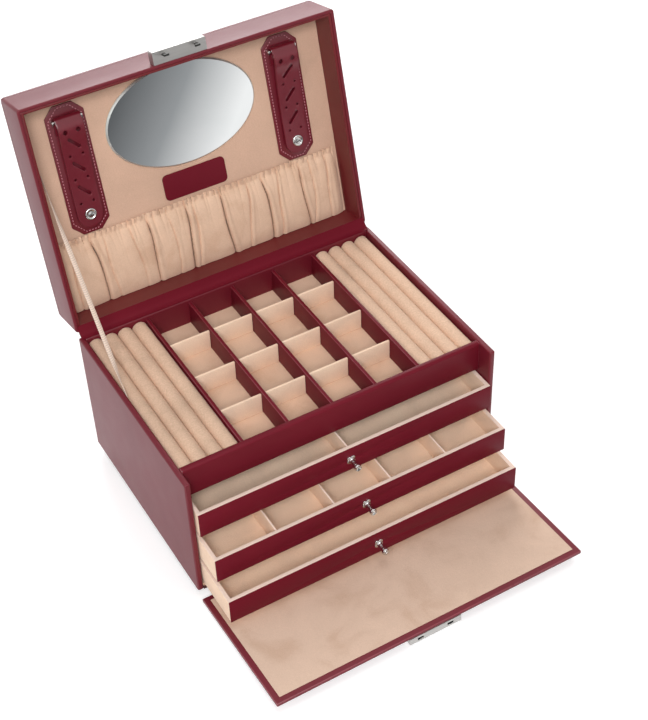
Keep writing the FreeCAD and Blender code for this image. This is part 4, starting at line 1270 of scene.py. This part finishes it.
        # Faces deep in folds and creases get darker velour: painted shade.
        finishes = ("pocket_velour", "pocket_fold_shade", "pocket_crease_shade")
        wear(cloth, [FINISHES[finish] for finish in finishes])
        for face in cloth.data.polygons:
            shaded_depth = sum(shaded_depths[index] for index in face.vertices) / len(face.vertices)
            face.material_index = (shaded_depth > self.fold_depth) + (shaded_depth > self.crease_depth)
        modify(cloth, "SOLIDIFY", thickness=sizes.pocket_cloth, offset=-1)
        smooth(cloth, 70)
        settle(cloth, LID)
        dress(cloth, "lid", "velour", finishes, "pocket")
        return {"FINISHED"}


def outward_facing(obj, way):
    """Turns an open sheet's faces to point one way."""
    total = sum((face.normal * face.area for face in obj.data.polygons), Vector())
    if total.dot(way) < 0:
        with edit_mode(obj):
            bpy.ops.mesh.select_all(action="SELECT")
            bpy.ops.mesh.flip_normals()


class CASE_OT_ribbon(bpy.types.Operator):
    """Makes the ribbon that stays the lid"""
    bl_idname = "jewellery_case.ribbon"
    bl_label = "Ribbon stay"

    def execute(self, context):
        way = RIBBON_HIGH - RIBBON_LOW
        ribbon = start("grid", "ribbon_woven", x_subdivisions=6, y_subdivisions=60, size=1)
        side = way.cross(Vector((0, 0, 1))).normalized()
        broad = way.cross(side).normalized()
        width = 4 * MM
        low_twist, high_twist = 0.22, 0.40

        def lay(point):
            share = point.y + 0.5
            ends = min(1, share / low_twist, (1 - share) / high_twist)
            turn = math.radians(80) * eased(ends)
            flat = broad * math.cos(turn) + side * math.sin(turn)
            face = side * math.cos(turn) - broad * math.sin(turn)
            crown = 0.5 * MM * (1 - 2 * abs(point.x))
            return RIBBON_LOW + way * share + flat * point.x * width + face * crown * ends

        shape(ribbon, lay)
        modify(ribbon, "SOLIDIFY", thickness=0.5 * MM, offset=0)
        modify(ribbon, "BEVEL", width=0.15 * MM, segments=2, limit_method="ANGLE",
               angle_limit=math.radians(50))
        smooth(ribbon, 50)
        ribbon.data.name = ribbon.name
        wear(ribbon, [FINISHES["ribbon"]])
        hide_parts("stay_ribbon")
        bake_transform(ribbon)
        return {"FINISHED"}


class CASE_OT_flap(bpy.types.Operator):
    """Covers the drop front and lines it with suede"""
    bl_idname = "jewellery_case.flap"
    bl_label = "Drop front"

    def execute(self, context):
        sizes = context.scene.case_sizes
        bound("flap_board", "flap", "leather", sizes.board_edge)
        covered("flap_hinge_strip", "flap", "burgundy_leather", "leather", 0.5 * sizes.board_edge)
        covered("flap_lining", "flap", "velour", "suede", 0.25 * MM)
        return {"FINISHED"}


class CASE_OT_fittings(bpy.types.Operator):
    """Plates the lock, its key plug and buttons, and the lid's catch"""
    bl_idname = "jewellery_case.fittings"
    bl_label = "Lock and catch"

    def execute(self, context):
        sizes = context.scene.case_sizes
        plate("lock_case", "flap", "satin_nickel", "nickel", sizes.metal_edge)
        catch = plate("lid_catch", "lid", "satin_nickel", "nickel", sizes.metal_edge)
        # The catch's hooks below the lid's rim take near-black steel: painted shade.
        catch.data.materials.append(FINISHES["steel_painted_shade"])
        into = LID.inverted()
        hooks = box_in("lid_frame", LID)[0].z + 0.4 * MM
        second_finish(catch, lambda face: (into @ face.center).z < hooks)
        plug = plate("key_plug", "key_plug", "satin_nickel", "nickel", 0.5 * sizes.metal_edge)
        # The keyway, sunk below the plug's face, takes near-black steel: painted shade.
        plug.data.materials.append(FINISHES["steel_painted_shade"])
        outer = FLAP.to_3x3() @ Vector((0, 0, -1))
        keyway = max(outer.dot(face.center) for face in plug.data.polygons) - 0.3 * MM
        second_finish(plug, lambda face: outer.dot(face.center) < keyway)
        for side in SIDES:
            plate(f"lock_button_{side}", f"lock_button_{side}", "satin_nickel", "nickel",
                  0.6 * sizes.metal_edge)
        return {"FINISHED"}


class CASE_OT_studio(bpy.types.Operator):
    """Sets the floor, the soft lights, the pale surround and the camera"""
    bl_idname = "jewellery_case.studio"
    bl_label = "Studio"

    def execute(self, context):
        scene = context.scene
        scene.view_settings.view_transform = "Standard"
        self.camera(scene)
        self.surround(scene)
        self.floor()
        self.cards()
        self.light("key_light", (-0.85, -1.55, 1.70), (0, 0, 0.10), 0.8, 38)
        self.light("top_light", (0.0, -0.15, 2.20), (0, 0, 0.10), 0.9, 7)
        self.light("side_light", (-2.2, 0.4, 0.8), (0, 0, 0.12), 1.4, 5)
        self.light("back_light", (0.9, 2.0, 1.3), (0, 0, 0.15), 1.4, 40)
        return {"FINISHED"}

    def camera(self, scene):
        data = bpy.data.cameras.new("camera")
        data.lens = 75.22
        data.sensor_width = 36
        camera = bpy.data.objects.new("camera", data)
        scene.collection.objects.link(camera)
        right = Vector((0.86222, -0.50564, -0.02986))
        up = Vector((0.36071, 0.57155, 0.73703))
        back = Vector((-0.35561, -0.64626, 0.67520))
        turn = Matrix((right, up, back)).transposed().to_4x4()
        camera.matrix_world = Matrix.Translation((-0.41268, -0.81554, 0.94635)) @ turn
        scene.camera = camera

    def seen(self, tree):
        """1 for camera, mirror and glass rays, 0 for the light that falls on things."""
        path = add_node(tree, "ShaderNodeLightPath")
        total = path.outputs["Is Camera Ray"]
        for ray in ("Glossy", "Transmission"):
            both = add_node(tree, "ShaderNodeMath", {"operation": "ADD", "use_clamp": True})
            join_to(tree, both.inputs[0], total)
            join_to(tree, both.inputs[1], path.outputs[f"Is {ray} Ray"])
            total = both.outputs[0]
        return total

    def surround(self, scene):
        world = bpy.data.worlds.new("studio")
        scene.world = world
        world.use_nodes = True
        tree = world.node_tree
        background = tree.nodes["Background"]
        background.inputs["Color"].default_value = (1, 1, 1, 1)
        join_to(tree, background.inputs["Strength"], between(tree, self.seen(tree), 0.30, 1.0, 0, 1))

    def floor(self):
        floor = start("plane", "studio_floor", size=12)
        material, tree, inputs = new_finish("studio_floor", Base_Color=(0.86, 0.86, 0.86, 1),
                                            Roughness=0.7, Specular_IOR_Level=0.1,
                                            Emission_Color=(1, 1, 1, 1))
        join_to(tree, inputs["Emission Strength"], between(tree, self.seen(tree), 0.0, 0.30, 0, 1))
        floor.data.materials.append(material)

    def cards(self):
        """Glowing cards in front of the case, which only shiny things see: they paint dark reflections
        into the mirror, the metal and the glossy leather.
        """
        shades = [(0.10, (0.045, 0.048, 0.052)), (0.46, (0.32, 0.33, 0.34)), (0.76, (0.96, 0.96, 0.96))]
        upright = (Matrix.Translation((0.216, -0.46, 0.186)) @ Matrix.Rotation(math.radians(90), 4, "X")
                   @ Matrix.Diagonal((0.30, 0.22, 1, 1)))
        # Paints a dark-to-light reflection into the oval mirror.
        self.glossy_card("mirror_card", upright, shades, 32)
        lying = Matrix.Translation((0.2, -1.5, 0.002)) @ Matrix.Diagonal((3.0, 2.4, 1, 1))
        # Paints a dark reflection into the fronts and the fittings.
        self.glossy_card("floor_card", lying, [(0.0, (0.10, 0.10, 0.105)), (1.0, (0.30, 0.30, 0.30))], 90)

    def glossy_card(self, name, place, shades, degrees):
        card = start("plane", name, size=1)
        material = bpy.data.materials.new(name)
        material.use_nodes = True
        tree = material.node_tree
        tree.nodes.remove(tree.nodes["Principled BSDF"])
        where = add_node(tree, "ShaderNodeTexCoord").outputs["UV"]
        moved = add_node(tree, "ShaderNodeMapping", Vector=where, Location=(-0.5, -0.5, 0))
        turned = add_node(tree, "ShaderNodeMapping", Vector=moved.outputs["Vector"],
                          Location=(0.5, 0.5, 0),
                          Rotation=(0, 0, math.radians(degrees))).outputs["Vector"]
        slope = add_node(tree, "ShaderNodeSeparateXYZ", Vector=turned).outputs["X"]
        glow = add_node(tree, "ShaderNodeEmission", Strength=1.0)
        join_to(tree, glow.inputs["Color"], ramp(tree, slope, shades))
        join_to(tree, tree.nodes["Material Output"].inputs["Surface"], glow.outputs["Emission"])
        card.data.materials.append(material)
        card.matrix_world = place
        for ray in ("camera", "diffuse", "transmission", "volume_scatter", "shadow"):
            setattr(card, f"visible_{ray}", False)

    def light(self, name, place, aim, size, power):
        data = bpy.data.lights.new(name, "AREA")
        data.size = size
        data.energy = power
        lamp = bpy.data.objects.new(name, data)
        bpy.context.scene.collection.objects.link(lamp)
        way = Vector(aim) - Vector(place)
        lamp.matrix_world = Matrix.Translation(place) @ way.to_track_quat("-Z", "Y").to_matrix().to_4x4()


PIECES = (
    CASE_OT_finishes, CASE_OT_studio, CASE_OT_ribbon, CASE_OT_carcass, CASE_OT_tray, CASE_OT_ring_rolls,
    CASE_OT_drawers, CASE_OT_knobs, CASE_OT_lid_shell, CASE_OT_hinge_cover, CASE_OT_lid_pad,
    CASE_OT_handle, CASE_OT_mirror, CASE_OT_straps, CASE_OT_pocket, CASE_OT_flap, CASE_OT_fittings,
)


class CASE_PT_pieces(bpy.types.Panel):
    """Lists the case's pieces and its sizes and colours"""
    bl_idname = "CASE_PT_pieces"
    bl_label = "Jewellery case"
    bl_space_type = "VIEW_3D"
    bl_region_type = "UI"
    bl_category = "Jewellery case"

    def draw(self, context):
        for group in (context.scene.case_sizes, context.scene.case_colours):
            column = self.layout.column()
            for name in group.__annotations__:
                column.prop(group, name)
        for piece in PIECES:
            self.layout.operator(piece.bl_idname)


CLASSES = (CaseColours, CaseSizes, *PIECES, CASE_PT_pieces)


def register():
    for cls in CLASSES:
        bpy.utils.register_class(cls)
    bpy.types.Scene.case_colours = PointerProperty(type=CaseColours)
    bpy.types.Scene.case_sizes = PointerProperty(type=CaseSizes)


def unregister():
    del bpy.types.Scene.case_sizes
    del bpy.types.Scene.case_colours
    for cls in reversed(CLASSES):
        bpy.utils.unregister_class(cls)


def main():
    register()
    for piece in PIECES:
        group, name = piece.bl_idname.split(".")
        getattr(getattr(bpy.ops, group), name)()


if __name__ == "__main__":
    main()
